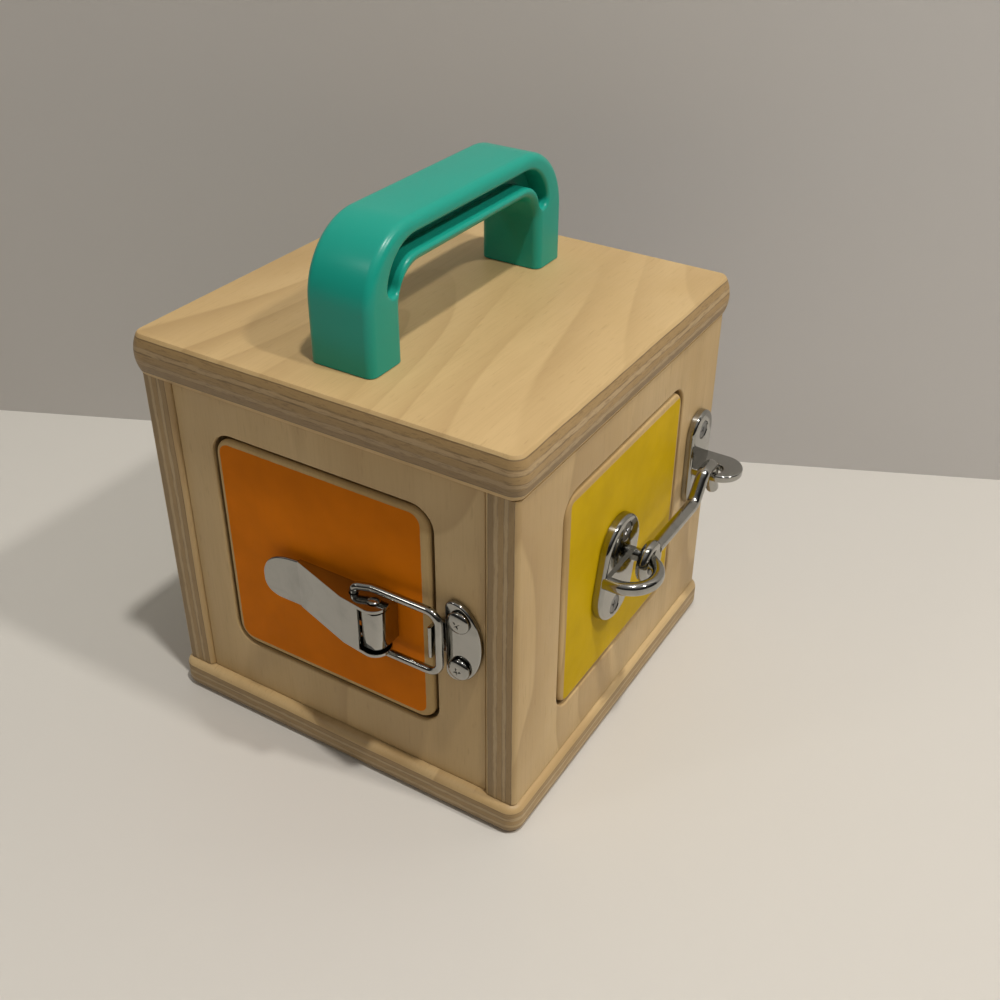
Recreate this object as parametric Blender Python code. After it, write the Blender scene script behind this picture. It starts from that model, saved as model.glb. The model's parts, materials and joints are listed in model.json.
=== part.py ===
"""Wooden latch box: a plywood cube with four inset doors, a different latch on each, and a carry handle.

Frame: metres, +Z up, origin at the centre of the underside of the base.
The door with the draw latch faces -Y and the door with the hook latch faces +X.
Sizes below are in millimetres and become metres in new_object.

Each wall has side coordinates (u, v, w): u runs along the wall to the right as seen from outside,
v is the height above the floor, and w is the distance outwards from the middle of the box.
"""

import math

import bmesh
import bpy
import numpy as np

MM = 0.001

# Gaps
CONTACT_GAP = 0.3
PIN_GAP = 0.3
CUT_PAST = 2.0
JOIN_DEPTH = 1.0

# Doors
DOOR_SIZE = 85.5
DOOR_CORNER = 7.0
DOOR_EDGE = 1.5
DOOR_GAP = 1.5
HINGE_INSET = 8.0
HINGE_DEPTH = 4.0
HINGE_PIN_RADIUS = 1.3
HINGE_PIN_IN_DOOR = 10.0

# Walls, as what is left around a door's opening
WALL_THICK = 12.0
WALL_EDGE = 1.8
LEFT_STILE = 14.45
RIGHT_STILE = 18.45
BOTTOM_RAIL = 19.45
TOP_RAIL = 14.45
FRONT_SETBACK = 1.0
END_PROUD = 1.5

# Base and top
BASE_THICK = 12.0
PANEL_SIDE_LEDGE = 2.0
PANEL_END_LEDGE = 2.5
TOP_THICK = 15.0
PANEL_CORNER = 5.5
BASE_EDGE = 3.0
TOP_BULGE = 2.0

# What follows for the box
OPENING_SIZE = DOOR_SIZE + 2 * DOOR_GAP
OPENING_CORNER = DOOR_CORNER + DOOR_GAP
FRONT_WALL_LENGTH = LEFT_STILE + OPENING_SIZE + RIGHT_STILE
SIDE_WALL_FACE = FRONT_WALL_LENGTH / 2 + CONTACT_GAP + WALL_THICK
FRONT_WALL_FACE = SIDE_WALL_FACE - FRONT_SETBACK
SIDE_WALL_LENGTH = 2 * (FRONT_WALL_FACE + END_PROUD)
PANEL_WIDTH = 2 * (SIDE_WALL_FACE + PANEL_SIDE_LEDGE)
PANEL_DEPTH = SIDE_WALL_LENGTH + 2 * PANEL_END_LEDGE
WALL_FROM_Z = BASE_THICK + CONTACT_GAP
WALL_TO_Z = WALL_FROM_Z + BOTTOM_RAIL + OPENING_SIZE + TOP_RAIL
TOP_UNDERSIDE = WALL_TO_Z + CONTACT_GAP
BOX_HEIGHT = TOP_UNDERSIDE + TOP_THICK
HALF_DOOR = DOOR_SIZE / 2
DOOR_CENTRE_U = (LEFT_STILE - RIGHT_STILE) / 2
DOOR_CENTRE_V = WALL_FROM_Z + BOTTOM_RAIL + OPENING_SIZE / 2
DOOR_EDGE_U = DOOR_CENTRE_U + HALF_DOOR
OPENING_EDGE_U = DOOR_CENTRE_U + OPENING_SIZE / 2
HINGE_U = DOOR_CENTRE_U - HALF_DOOR + HINGE_INSET
HINGE_HOLE_RADIUS = HINGE_PIN_RADIUS + PIN_GAP

# Dividers, two plates that cross corner to corner
DIVIDER_THICK = 6.0
DIVIDER_EDGE = 0.8
DIVIDER_GAP = 0.6
DIVIDER_LENGTH = 2 * math.sqrt(2) * (FRONT_WALL_FACE - WALL_THICK - DIVIDER_GAP) - DIVIDER_THICK

# Handle
HANDLE_CENTRE_X = 1.0
HANDLE_CENTRE_Y = -2.0
HANDLE_INSET = 15.5
HANDLE_WIDTH = 24.5
HANDLE_RISE = 44.3
HANDLE_LEG = 16.5
HANDLE_BAR = 15.0
HANDLE_OUTER_RADIUS = 24.0
HANDLE_INNER_RADIUS = 11.0
HANDLE_EDGE = 3.0
SLOT_OUTER_RADIUS = 15.5
SLOT_WIDTH = 6.0
SLOT_BAR_MARGIN = 3.7
SLOT_LEG_MARGIN = 0.5
SLOT_DEPTH = 8.0
SLOT_STOP_ANGLE = 170.0
HANDLE_SCREW_RADIUS = 1.8
HANDLE_SCREW_IN_LEG = 12.0
HANDLE_SCREW_HEAD_RADIUS = 4.0
HANDLE_SCREW_HEAD = 2.2
HANDLE_SPAN = SIDE_WALL_LENGTH - 2 * HANDLE_INSET
HANDLE_SCREW_SEAT = TOP_UNDERSIDE + CONTACT_GAP + HANDLE_SCREW_HEAD

# Wood screws
SHANK_RADIUS = 1.4
SHANK_LENGTH = 8.0
LARGE_HEAD_RADIUS = 4.0
LARGE_HEAD = 2.0
SMALL_HEAD_RADIUS = 2.7
SMALL_HEAD = 1.2
SUNK_HEAD_RADIUS = 3.4
SUNK_HEAD_DEPTH = 2.0
HEAD_CREST = 0.5
RECESS_WIDTH = 0.9
RECESS_DEPTH = 0.7
RECESS_SPAN_SHARE = 0.6
HEAD_SHOULDER_SHARE = 0.72
SCREW_HOLE_RADIUS = SHANK_RADIUS + PIN_GAP

# Draw latch on the front door, along u from its rivet and outwards from the door
DRAW_DROP = 2.5
DRAW_PLATE_BACK = 30.6
DRAW_PLATE_AHEAD = 5.4
DRAW_PLATE_HEIGHT = 15.0
DRAW_PLATE_THICK = 1.0
DRAW_PLATE_CORNER = 2.0
DRAW_SCREW_FAR_BACK = 26.1
DRAW_SCREW_NEAR_BACK = 13.6
LEVER_PIVOT_INSET = 17.15
LEVER_HEIGHT = 19.0
LEVER_SHEET = 1.2
LEVER_EAR_RADIUS = 5.2
LEVER_CLEARANCE = 2.0
LEVER_LENGTH = 34.1
LEVER_LEFT_RISE = 4.0
LEVER_KNEE_BACK = 10.6
LEVER_KNEE_DROP = 1.4
LEVER_WINDOW_LAP = 0.4
EAR_STOP_ANGLE = 100.0
PADDLE_REACH = 13.4
PADDLE_RISE = 2.1
PADDLE_LAP = 1.0
PADDLE_REACH_SHARES = (0.11, 0.41, 0.67, 0.86, 0.955, 1.0)
PADDLE_RISE_SHARES = (0.0, 0.14, 0.43, 0.71, 0.9, 1.0)
PADDLE_HEIGHT_SHARES = (0.98, 0.95, 0.87, 0.69, 0.46, 0.21)
KNUCKLE_INSET = 0.8
KNUCKLE_SIDE_GAP = 1.2
RIVET_RADIUS = 1.3
RIVET_HEAD_RADIUS = 2.2
RIVET_HEAD = 0.7
DRAW_CENTRE_V = DOOR_CENTRE_V - DRAW_DROP
LEVER_PIVOT_U = DOOR_EDGE_U - LEVER_PIVOT_INSET
LEVER_PIVOT_W = FRONT_WALL_FACE + LEVER_CLEARANCE + LEVER_EAR_RADIUS
LEVER_BACK_W = FRONT_WALL_FACE + LEVER_CLEARANCE + CONTACT_GAP
LEVER_LEFT_U = LEVER_PIVOT_U - LEVER_LENGTH
LEVER_LEFT_W = FRONT_WALL_FACE + LEVER_LEFT_RISE
LEVER_KNEE_U = LEVER_PIVOT_U - LEVER_KNEE_BACK
LEVER_KNEE_W = LEVER_PIVOT_W + LEVER_EAR_RADIUS - LEVER_KNEE_DROP
KNUCKLE_RADIUS = LEVER_EAR_RADIUS - KNUCKLE_INSET
KNUCKLE_HALF_HEIGHT = LEVER_HEIGHT / 2 - LEVER_SHEET - KNUCKLE_SIDE_GAP
LEVER_FRONT_END_U = LEVER_PIVOT_U - KNUCKLE_RADIUS + LEVER_WINDOW_LAP

# Keeper of the draw latch, from the edge of the opening
LIP_START = 1.05
LIP_THICK = 1.3
LIP_RISE = 6.6
LIP_HALF_HEIGHT = 7.5
TROUGH_WIDTH = 3.7
TROUGH_THICK = 1.2
KEEPER_DROP = 1.5
KEEPER_END_GAP = 0.2
KEEPER_HALF_HEIGHT = 15.8
KEEPER_THICK = 2.0
KEEPER_EDGE = 0.9
KEEPER_CORNER = 3.0
KEEPER_BULGE_ANGLE = 80.0
KEEPER_SCREW_INSET = 5.8
KEEPER_SCREW_SPREAD = 9.5
KEEPER_CENTRE_V = DOOR_CENTRE_V - KEEPER_DROP
LIP_LEFT_U = OPENING_EDGE_U + LIP_START
LIP_RIGHT_U = LIP_LEFT_U + LIP_THICK
LIP_TOP_W = FRONT_WALL_FACE + LIP_RISE
KEEPER_LEFT_U = LIP_LEFT_U + TROUGH_WIDTH
KEEPER_RIGHT_U = FRONT_WALL_LENGTH / 2 - KEEPER_END_GAP
KEEPER_SCREW_U = KEEPER_LEFT_U + KEEPER_SCREW_INSET

# Bail, the wire from the lever to the keeper
BAIL_RADIUS = 1.4
BAIL_PIVOT_BACK = 8.3
BAIL_PIVOT_DROP = 0.6
BAIL_SIDE_GAP = 1.4
BAIL_ARM_RISE = 4.6
BAIL_BEND_BACK = 2.6
BAIL_CORNER = 4.5
BAIL_INSIDE_BEND = 0.2
BAIL_TIP_INSIDE = 2.4
BAIL_BAR_GAP = 0.6
BAIL_PIVOT_U = LEVER_PIVOT_U - BAIL_PIVOT_BACK
BAIL_PIVOT_W = LEVER_PIVOT_W - BAIL_PIVOT_DROP
BAIL_HALF_HEIGHT = LEVER_HEIGHT / 2 + BAIL_SIDE_GAP + BAIL_RADIUS
BAIL_ARM_W = FRONT_WALL_FACE + BAIL_ARM_RISE
BAIL_ARM_START_U = LEVER_PIVOT_U - BAIL_BEND_BACK
BAIL_BAR_U = LIP_RIGHT_U + BAIL_BAR_GAP + BAIL_RADIUS
BAIL_END_BEND = BAIL_RADIUS + BAIL_INSIDE_BEND

# Plate and ring of the hook latch on the right door, from the middle of the door
HOOK_PLATE_BACK = 7.8
HOOK_PLATE_DROP = 3.2
HOOK_PLATE_WIDTH = 24.5
HOOK_PLATE_HEIGHT = 40.0
HOOK_PLATE_THICK = 3.5
HOOK_PLATE_EDGE = 1.5
HOOK_PLATE_TILT = 13.0
HOOK_SCREW_INSET = 6.0
RING_BACK = 0.5
RING_OVER = 0.4
RING_RISE = 7.0
RING_OUTER_RADIUS = 12.3
RING_BAR = 4.4
RING_THICK = 4.8
RING_EDGE_SHARE = 0.45
HOOK_PLATE_U = DOOR_CENTRE_U - HOOK_PLATE_BACK
HOOK_PLATE_V = DOOR_CENTRE_V - HOOK_PLATE_DROP
HOOK_SCREW_SPREAD = HOOK_PLATE_HEIGHT / 2 - HOOK_SCREW_INSET
RING_CENTRE_U = HOOK_PLATE_U - RING_BACK
RING_CENTRE_V = HOOK_PLATE_V + RING_OVER
RING_CENTRE_W = SIDE_WALL_FACE + RING_RISE
RING_INNER_RADIUS = RING_OUTER_RADIUS - RING_BAR
RING_EDGE = RING_BAR * RING_EDGE_SHARE

# Eye of the hook, hung on the ring
EYE_TURN = 16.3
EYE_HANG = 0.8
EYE_PLAY = 0.4
EYE_WIRE_RADIUS = 2.1
RING_MIDDLE_RADIUS = RING_OUTER_RADIUS - RING_BAR / 2
EYE_U = RING_CENTRE_U + RING_MIDDLE_RADIUS * math.cos(math.radians(EYE_TURN))
EYE_V = RING_CENTRE_V - EYE_HANG
EYE_W = RING_CENTRE_W + RING_MIDDLE_RADIUS * math.sin(math.radians(EYE_TURN))
EYE_INNER_RADIUS = RING_THICK / 2 + EYE_HANG + EYE_PLAY

# Keeper of the hook latch, from the edge of the opening and the height of the hook
HOOK_ROD_RADIUS = 2.35
HOOK_KEEPER_START = 14.75
HOOK_KEEPER_OVER = 6.0
HOOK_KEEPER_WIDTH = 17.0
HOOK_KEEPER_HEIGHT = 40.0
HOOK_KEEPER_THICK = 3.0
HOOK_KEEPER_EDGE = 1.2
HOOK_KEEPER_SCREW_INSET = 7.5
TAB_DROP = 0.5
TAB_THICK = 3.0
TAB_EDGE = 0.8
TAB_PAST_EYE = 2.0
TAB_HOLE_BACK = 2.5
TAB_HOLE_OUT = 0.1
TAB_HOLE_PLAY = 2.25
TAB_EXIT_START = 1.9
TAB_EXIT_TURN = 12.0
HOOK_KEEPER_U = OPENING_EDGE_U + HOOK_KEEPER_START
HOOK_KEEPER_V = DOOR_CENTRE_V + HOOK_KEEPER_OVER
HOOK_KEEPER_SCREW_SPREAD = HOOK_KEEPER_HEIGHT / 2 - HOOK_KEEPER_SCREW_INSET
TAB_RADIUS = HOOK_KEEPER_WIDTH / 2
TAB_TOP_V = HOOK_KEEPER_V - TAB_DROP
TAB_CENTRE_W = EYE_W + TAB_PAST_EYE
TAB_HOLE_U = HOOK_KEEPER_U - TAB_HOLE_BACK
TAB_HOLE_W = EYE_W + TAB_HOLE_OUT
TAB_HOLE_RADIUS = HOOK_ROD_RADIUS + TAB_HOLE_PLAY
TAB_EXIT_U = TAB_HOLE_U + TAB_EXIT_START

# Rod of the hook, from its eye to its drop through the keeper
HOOK_ROD_OVER_EYE = 2.6
HOOK_DROP_BACK = 1.1
HOOK_TOP_LENGTH = 8.8
HOOK_RISE_LENGTH = 7.0
HOOK_OVER_TAB = 0.65
HOOK_DROP_PAST_TAB = 4.3
HOOK_TIP_DROP = 6.4
HOOK_TIP_REACH = 3.3
HOOK_FOOT_BEND = 6.0
HOOK_SHOULDER_BEND = 4.0
HOOK_TOP_BEND = 3.4
HOOK_TIP_BEND = 5.0
HOOK_ROD_V = EYE_V + HOOK_ROD_OVER_EYE
HOOK_DROP_U = TAB_HOLE_U - HOOK_DROP_BACK
HOOK_RISE_TO_U = HOOK_DROP_U - HOOK_TOP_LENGTH
HOOK_RISE_FROM_U = HOOK_RISE_TO_U - HOOK_RISE_LENGTH
HOOK_TOP_V = TAB_TOP_V + HOOK_OVER_TAB + HOOK_ROD_RADIUS
HOOK_TIP_BEND_V = TAB_TOP_V - HOOK_DROP_PAST_TAB
HOOK_TIP_U = HOOK_DROP_U + HOOK_TIP_REACH
HOOK_TIP_V = HOOK_TIP_BEND_V - HOOK_TIP_DROP

# Barrel bolt on the left door, from the edges of the door and the opening
BOLT_RADIUS = 3.0
BOLT_OVER_PLATE = 1.5
BOLT_TAIL = 1.5
BOLT_TIP_INSET = 1.0
BOLT_TIP_ROUND = 1.0
BOLT_PLATE_INSET = 1.25
BOLT_PLATE_LENGTH = 40.0
BOLT_PLATE_HEIGHT = 22.0
BOLT_PLATE_THICK = 1.5
BOLT_PLATE_CORNER = 2.0
BOLT_SCREW_INSET = 3.6
HOOP_INSET = 1.5
HOOP_LENGTH = 5.0
HOOP_WALL = 2.2
STRAP_PLAY = 1.0
STRAP_CORNER = 1.5
BOLT_KNOB_START = 11.5
BOLT_KNOB_STEM = 2.4
BOLT_KNOB_BALL = 4.0
BOLT_KNOB_REACH = 9.0
BALL_FROM_ANGLE = -60.0
BALL_TO_ANGLE = 80.0
BOLT_KEEPER_START = 2.25
BOLT_KEEPER_LENGTH = 16.0
BOLT_KEEPER_SCREW_INSET = 4.0
BOLT_V = DOOR_CENTRE_V
BOLT_AXIS_W = SIDE_WALL_FACE + CONTACT_GAP + BOLT_PLATE_THICK + BOLT_OVER_PLATE + BOLT_RADIUS
BOLT_PLATE_TO_U = DOOR_EDGE_U - BOLT_PLATE_INSET
BOLT_PLATE_FROM_U = BOLT_PLATE_TO_U - BOLT_PLATE_LENGTH
BOLT_FROM_U = BOLT_PLATE_FROM_U - BOLT_TAIL
BOLT_TO_U = BOLT_PLATE_TO_U - BOLT_TIP_INSET
BOLT_SCREW_U = (BOLT_PLATE_FROM_U + BOLT_PLATE_TO_U) / 2
BOLT_SCREW_SPREAD = BOLT_PLATE_HEIGHT / 2 - BOLT_SCREW_INSET
HOOP_RADIUS = BOLT_RADIUS + HOOP_WALL
BOLT_KNOB_U = BOLT_PLATE_FROM_U + BOLT_KNOB_START
BOLT_KEEPER_FROM_U = OPENING_EDGE_U + BOLT_KEEPER_START
BOLT_KEEPER_TO_U = BOLT_KEEPER_FROM_U + BOLT_KEEPER_LENGTH
BOLT_KEEPER_SCREW_U = BOLT_KEEPER_TO_U - BOLT_KEEPER_SCREW_INSET

# Turn button and knob of the back door, from the edges of the opening and the door
BUTTON_START = 9.05
BUTTON_WIDTH = 9.0
BUTTON_LONG_END = 15.0
BUTTON_SHORT_END = 8.0
BUTTON_THICK = 4.0
BUTTON_EDGE = 1.0
BUTTON_PLAY = 0.5
KNOB_INSET = 14.75
KNOB_RADIUS = 7.8
KNOB_HEIGHT = 14.6
KNOB_RADIUS_SHARES = (0.67, 0.54, 0.47, 0.56, 0.92, 1.0, 0.9, 0.56, 0.28)
KNOB_HEIGHT_SHARES = (0.0, 0.08, 0.27, 0.45, 0.59, 0.73, 0.88, 0.97, 1.0)
BUTTON_U = OPENING_EDGE_U + BUTTON_START
BUTTON_HOLE_RADIUS = SHANK_RADIUS + BUTTON_PLAY
KNOB_U = DOOR_EDGE_U - KNOB_INSET

# How finely curves are cut
ARC_STEPS = 5
EDGE_STEPS = 3
ROUND_STEPS = 20
WIRE_STEPS = 12

# Sides, each with its directions of u and w
FRONT = ((1, 0), (0, -1))
RIGHT = ((0, 1), (1, 0))
BACK = ((-1, 0), (0, 1))
LEFT = ((0, -1), (-1, 0))

COLOURS = {
    "wood": (0.72, 0.52, 0.31),
    "orange": (0.80, 0.27, 0.02),
    "yellow": (0.80, 0.58, 0.04),
    "green": (0.20, 0.45, 0.20),
    "blue": (0.08, 0.25, 0.45),
    "teal": (0.03, 0.42, 0.34),
    "chrome": (0.75, 0.75, 0.76),
    "steel": (0.55, 0.56, 0.58),
}


# Outlines and solids, as plain points and faces


def arc(centre, radius, start, stop, steps=ARC_STEPS):
    """Points on an arc, angles in degrees."""
    angles = np.radians(np.linspace(start, stop, steps + 1))
    return [(centre[0] + radius * math.cos(a), centre[1] + radius * math.sin(a)) for a in angles]


def oblong(half_width, half_height):
    """Anticlockwise outline about the origin, with square corners."""
    right, top = half_width, half_height
    return [(right, top), (-right, top), (-right, -top), (right, -top)]


def rounded_rectangle(width, height, radius, steps=ARC_STEPS):
    """Anticlockwise outline about the origin."""
    across = width / 2 - radius
    up = height / 2 - radius
    corners = ((across, up, 0), (-across, up, 90), (-across, -up, 180), (across, -up, 270))
    return [p for x, y, start in corners for p in arc((x, y), radius, start, start + 90, steps)]


def edge_rounding(radius):
    """(inset, rise) pairs that turn a square edge into a quarter round, from the wall to the face."""
    angles = np.radians(np.linspace(0, 90, EDGE_STEPS + 1))
    return [(radius * (1 - math.cos(a)), radius * math.sin(a)) for a in angles]


def loft(rings, closed=False):
    """Skins rings of equal count. Open stacks get a cap at each end."""
    count = len(rings[0])
    points = [tuple(p) for ring in rings for p in ring]
    faces = []
    spans = len(rings) if closed else len(rings) - 1
    for level in range(spans):
        low = level * count
        high = (level + 1) % len(rings) * count
        for i in range(count):
            j = (i + 1) % count
            faces.append((low + i, low + j, high + j, high + i))
    if not closed:
        faces.append(tuple(reversed(range(count))))
        faces.append(tuple(range(len(points) - count, len(points))))
    return points, faces


def layered_slab(outline_at, thickness, back_edge=0.0, front_edge=0.0):
    """A slab from z = 0 up. outline_at(inset) gives the outline that lies so far inside the full one."""
    layers = []
    if back_edge:
        layers += [(inset, back_edge - rise) for inset, rise in reversed(edge_rounding(back_edge))]
    else:
        layers.append((0.0, 0.0))
    if front_edge:
        layers += [(inset, thickness - front_edge + rise) for inset, rise in edge_rounding(front_edge)]
    else:
        layers.append((0.0, thickness))
    return loft([[(x, y, z) for x, y in outline_at(inset)] for inset, z in layers])


def flared_cutter(outline_at, thickness, edge):
    """The cutter for a hole through a slab from z = 0 to its thickness, with both rims rounded over."""
    rim = edge_rounding(edge)
    layers = [(-edge, -CUT_PAST)]
    layers += [(-inset, edge - rise) for inset, rise in reversed(rim)]
    layers += [(-inset, thickness - edge + rise) for inset, rise in rim]
    layers.append((-edge, thickness + CUT_PAST))
    return loft([[(x, y, z) for x, y in outline_at(inset)] for inset, z in layers])


def bulged_slab(width, height, corner, thickness, bulge):
    """A slab whose edge is one shallow arc from face to face, its middle the given outline."""
    radius = (thickness ** 2 / 4 + bulge ** 2) / (2 * bulge)
    swing = math.asin(thickness / 2 / radius)
    rings = []
    for angle in np.linspace(-swing, swing, 2 * EDGE_STEPS + 1):
        inset = radius * (1 - math.cos(angle))
        level = thickness / 2 + radius * math.sin(angle)
        outline = rounded_rectangle(width - 2 * inset, height - 2 * inset, corner - inset)
        rings.append([(x, y, level) for x, y in outline])
    return loft(rings)


def rounded_slab(width, height, corner, thickness, back_edge=0.0, front_edge=0.0, steps=ARC_STEPS):
    """A slab with a rounded rectangle for its outline, centred on the z axis."""

    def outline_at(inset):
        return rounded_rectangle(width - 2 * inset, height - 2 * inset, corner - inset, steps)

    return layered_slab(outline_at, thickness, back_edge, front_edge)


def prism(outline, start, stop):
    return loft([[(x, y, start) for x, y in outline], [(x, y, stop) for x, y in outline]])


def cylinder(radius, start, stop, steps=ROUND_STEPS):
    return prism(arc((0, 0), radius, 0, 360, steps)[:-1], start, stop)


def lathe(profile, steps=ROUND_STEPS):
    """Rings of (radius, height) about the z axis, with flat ends."""
    rings = []
    for radius, height in profile:
        rings.append([(x, y, height) for x, y in arc((0, 0), radius, 0, 360, steps)[:-1]])
    return loft(rings)


def bent_path(corners, bends, steps=ARC_STEPS):
    """A path through corner points, each inner corner rounded to its own radius."""
    corners = [np.array(c, float) for c in corners]
    path = [corners[0]]
    for before, corner, after, radius in zip(corners, corners[1:], corners[2:], bends):
        back = (before - corner) / np.linalg.norm(before - corner)
        ahead = (after - corner) / np.linalg.norm(after - corner)
        half = math.acos(float(np.clip(back @ ahead, -1, 1))) / 2
        middle = (back + ahead) / np.linalg.norm(back + ahead)
        centre = corner + middle * radius / math.sin(half)
        first = corner + back * radius / math.tan(half) - centre
        last = corner + ahead * radius / math.tan(half) - centre
        swing = math.pi - 2 * half
        for k in range(steps + 1):
            share = k / steps
            a = math.sin((1 - share) * swing) / math.sin(swing)
            b = math.sin(share * swing) / math.sin(swing)
            path.append(centre + a * first + b * last)
    path.append(corners[-1])
    return path


def tube(path, radius, steps=WIRE_STEPS, closed=False):
    """A round bar along a path, its section carried along without twist."""
    path = [np.array(p, float) for p in path]
    count = len(path)
    rings = []
    normal = None
    for i, point in enumerate(path):
        if closed:
            along = path[(i + 1) % count] - path[i - 1]
        else:
            along = path[min(i + 1, count - 1)] - path[max(i - 1, 0)]
        along = along / np.linalg.norm(along)
        if normal is None:
            helper = np.eye(3)[int(np.argmin(np.abs(along)))]
            normal = np.cross(along, helper)
        normal = normal - along * float(normal @ along)
        normal = normal / np.linalg.norm(normal)
        other = np.cross(along, normal)
        rings.append([point + normal * x + other * y for x, y in arc((0, 0), radius, 0, 360, steps)[:-1]])
    return loft(rings, closed)


# Moves from a shape's own axes into place


def shifted(shape, offset):
    points, faces = shape
    return [tuple(np.array(p) + offset) for p in points], faces


def swapped(shape, order):
    """Puts the shape's own axes in a new order, such as (0, 2, 1)."""
    points, faces = shape
    return [tuple(p[k] for k in order) for p in points], faces


def spun(shape, degrees):
    """Turns a shape about its own z axis."""
    c, s = math.cos(math.radians(degrees)), math.sin(math.radians(degrees))
    points, faces = shape
    return [(c * x - s * y, s * x + c * y, z) for x, y, z in points], faces


def merged(shapes):
    """Several separate shapes as one mesh, for a cutter."""
    points, faces = [], []
    for more_points, more_faces in shapes:
        start = len(points)
        points += more_points
        faces += [tuple(i + start for i in face) for face in more_faces]
    return points, faces


def side_to_world(side, point):
    (ux, uy), (wx, wy) = side
    u, v, w = point
    return (ux * u + wx * w, uy * u + wy * w, v)


def on_side(side, shape):
    points, faces = shape
    return [side_to_world(side, p) for p in points], faces


# Objects


def material_named(name):
    found = bpy.data.materials.get(name)
    if found:
        return found
    material = bpy.data.materials.new(name)
    material.use_nodes = True
    shader = material.node_tree.nodes["Principled BSDF"]
    kind = name.split(".")[0]
    shader.inputs["Base Color"].default_value = (*COLOURS[kind], 1.0)
    metal = kind in ("chrome", "steel")
    shader.inputs["Metallic"].default_value = 1.0 if metal else 0.0
    shader.inputs["Roughness"].default_value = 0.15 if metal else 0.5
    return material


def new_object(name, shape, kind=None, origin=(0.0, 0.0, 0.0), smooth=True):
    """One named object. kind names its colour; a helper shape has none and stays out of the render."""
    points, faces = shape
    start = np.array(origin, float)
    mesh = bpy.data.meshes.new(name)
    mesh.from_pydata([tuple((np.array(p) - start) * MM) for p in points], [], faces)
    work = bmesh.new()
    work.from_mesh(mesh)
    bmesh.ops.recalc_face_normals(work, faces=work.faces)
    work.to_mesh(mesh)
    work.free()
    if smooth:
        mesh.shade_smooth()
        mesh.set_sharp_from_angle(angle=math.radians(35))
    obj = bpy.data.objects.new(name, mesh)
    obj.location = start * MM
    bpy.context.scene.collection.objects.link(obj)
    if kind:
        mesh.materials.append(material_named(f"{kind}.{name}"))
    else:
        obj.hide_render = True
        obj.display_type = "WIRE"
    return obj


def change(target, shape, operation):
    """Cuts a shape out of the target, or joins it on."""
    helper = new_object(f"helper_{target.name}_{len(target.modifiers)}", shape)
    modifier = target.modifiers.new(f"{operation.lower()}_{len(target.modifiers)}", "BOOLEAN")
    modifier.operation = operation
    modifier.solver = "EXACT"
    modifier.object = helper


def cut(target, shape):
    change(target, shape, "DIFFERENCE")


def join(target, shape):
    change(target, shape, "UNION")


def drill(radius, u, v, mouth_w, depth):
    """A hole's cutter in side coordinates, going inwards from mouth_w."""
    return shifted(cylinder(radius, mouth_w - depth, mouth_w + CUT_PAST), (u, v, 0))


def screw(name, side, u, v, seat_w, head_radius, head, turn=0.0, sunk=False):
    """A wood screw whose head sits on seat_w, or lies below it if it is countersunk."""
    if sunk:
        profile = ((SHANK_RADIUS, -SHANK_LENGTH), (SHANK_RADIUS, -head),
                   (head_radius, -HEAD_CREST), (head_radius, 0.0))
    else:
        shoulder = head_radius * HEAD_SHOULDER_SHARE
        shoulder_height = head * HEAD_SHOULDER_SHARE + HEAD_CREST / 2
        profile = ((SHANK_RADIUS, -SHANK_LENGTH), (SHANK_RADIUS, 0.0), (head_radius, 0.0),
                   (head_radius, HEAD_CREST), (shoulder, shoulder_height), (head_radius - shoulder, head))
    obj = new_object(name, on_side(side, shifted(lathe(profile), (u, v, seat_w))), "chrome")
    half = RECESS_WIDTH / 2
    reach = head_radius * RECESS_SPAN_SHARE
    cross = [(half, half), (reach, half), (reach, -half), (half, -half), (half, -reach), (-half, -reach),
             (-half, -half), (-reach, -half), (-reach, half), (-half, half), (-half, reach), (half, reach)]
    top = 0.0 if sunk else head
    recess = prism(cross, top - RECESS_DEPTH, top + CUT_PAST)
    cut(obj, on_side(side, shifted(spun(recess, turn), (u, v, seat_w))))


def sunk_hole(u, v, front_w, plate_thick):
    """The cutter for a countersunk screw's hole through a plate."""
    shank = SHANK_RADIUS + PIN_GAP
    rim = SUNK_HEAD_RADIUS + PIN_GAP
    profile = ((shank, -plate_thick - CUT_PAST), (shank, -SUNK_HEAD_DEPTH - PIN_GAP),
               (rim, -HEAD_CREST - PIN_GAP), (rim, CUT_PAST))
    return shifted(lathe(profile), (u, v, front_w))


# The box


def build_panels():
    base = rounded_slab(PANEL_WIDTH, PANEL_DEPTH, PANEL_CORNER, BASE_THICK, BASE_EDGE, BASE_EDGE)
    new_object("base_panel", base, "wood")
    top = bulged_slab(PANEL_WIDTH, PANEL_DEPTH, PANEL_CORNER, TOP_THICK, TOP_BULGE)
    top_panel = new_object("top_panel", shifted(top, (0, 0, TOP_UNDERSIDE)), "wood")
    wide = HANDLE_SCREW_HEAD_RADIUS + PIN_GAP
    narrow = HANDLE_SCREW_RADIUS + PIN_GAP
    step = HANDLE_SCREW_SEAT + CONTACT_GAP
    profile = ((wide, TOP_UNDERSIDE - CUT_PAST), (wide, step),
               (narrow, step), (narrow, BOX_HEIGHT + CUT_PAST))
    cut(top_panel, merged([shifted(lathe(profile), (x, y, 0)) for x, y in handle_screw_places()]))


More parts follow.
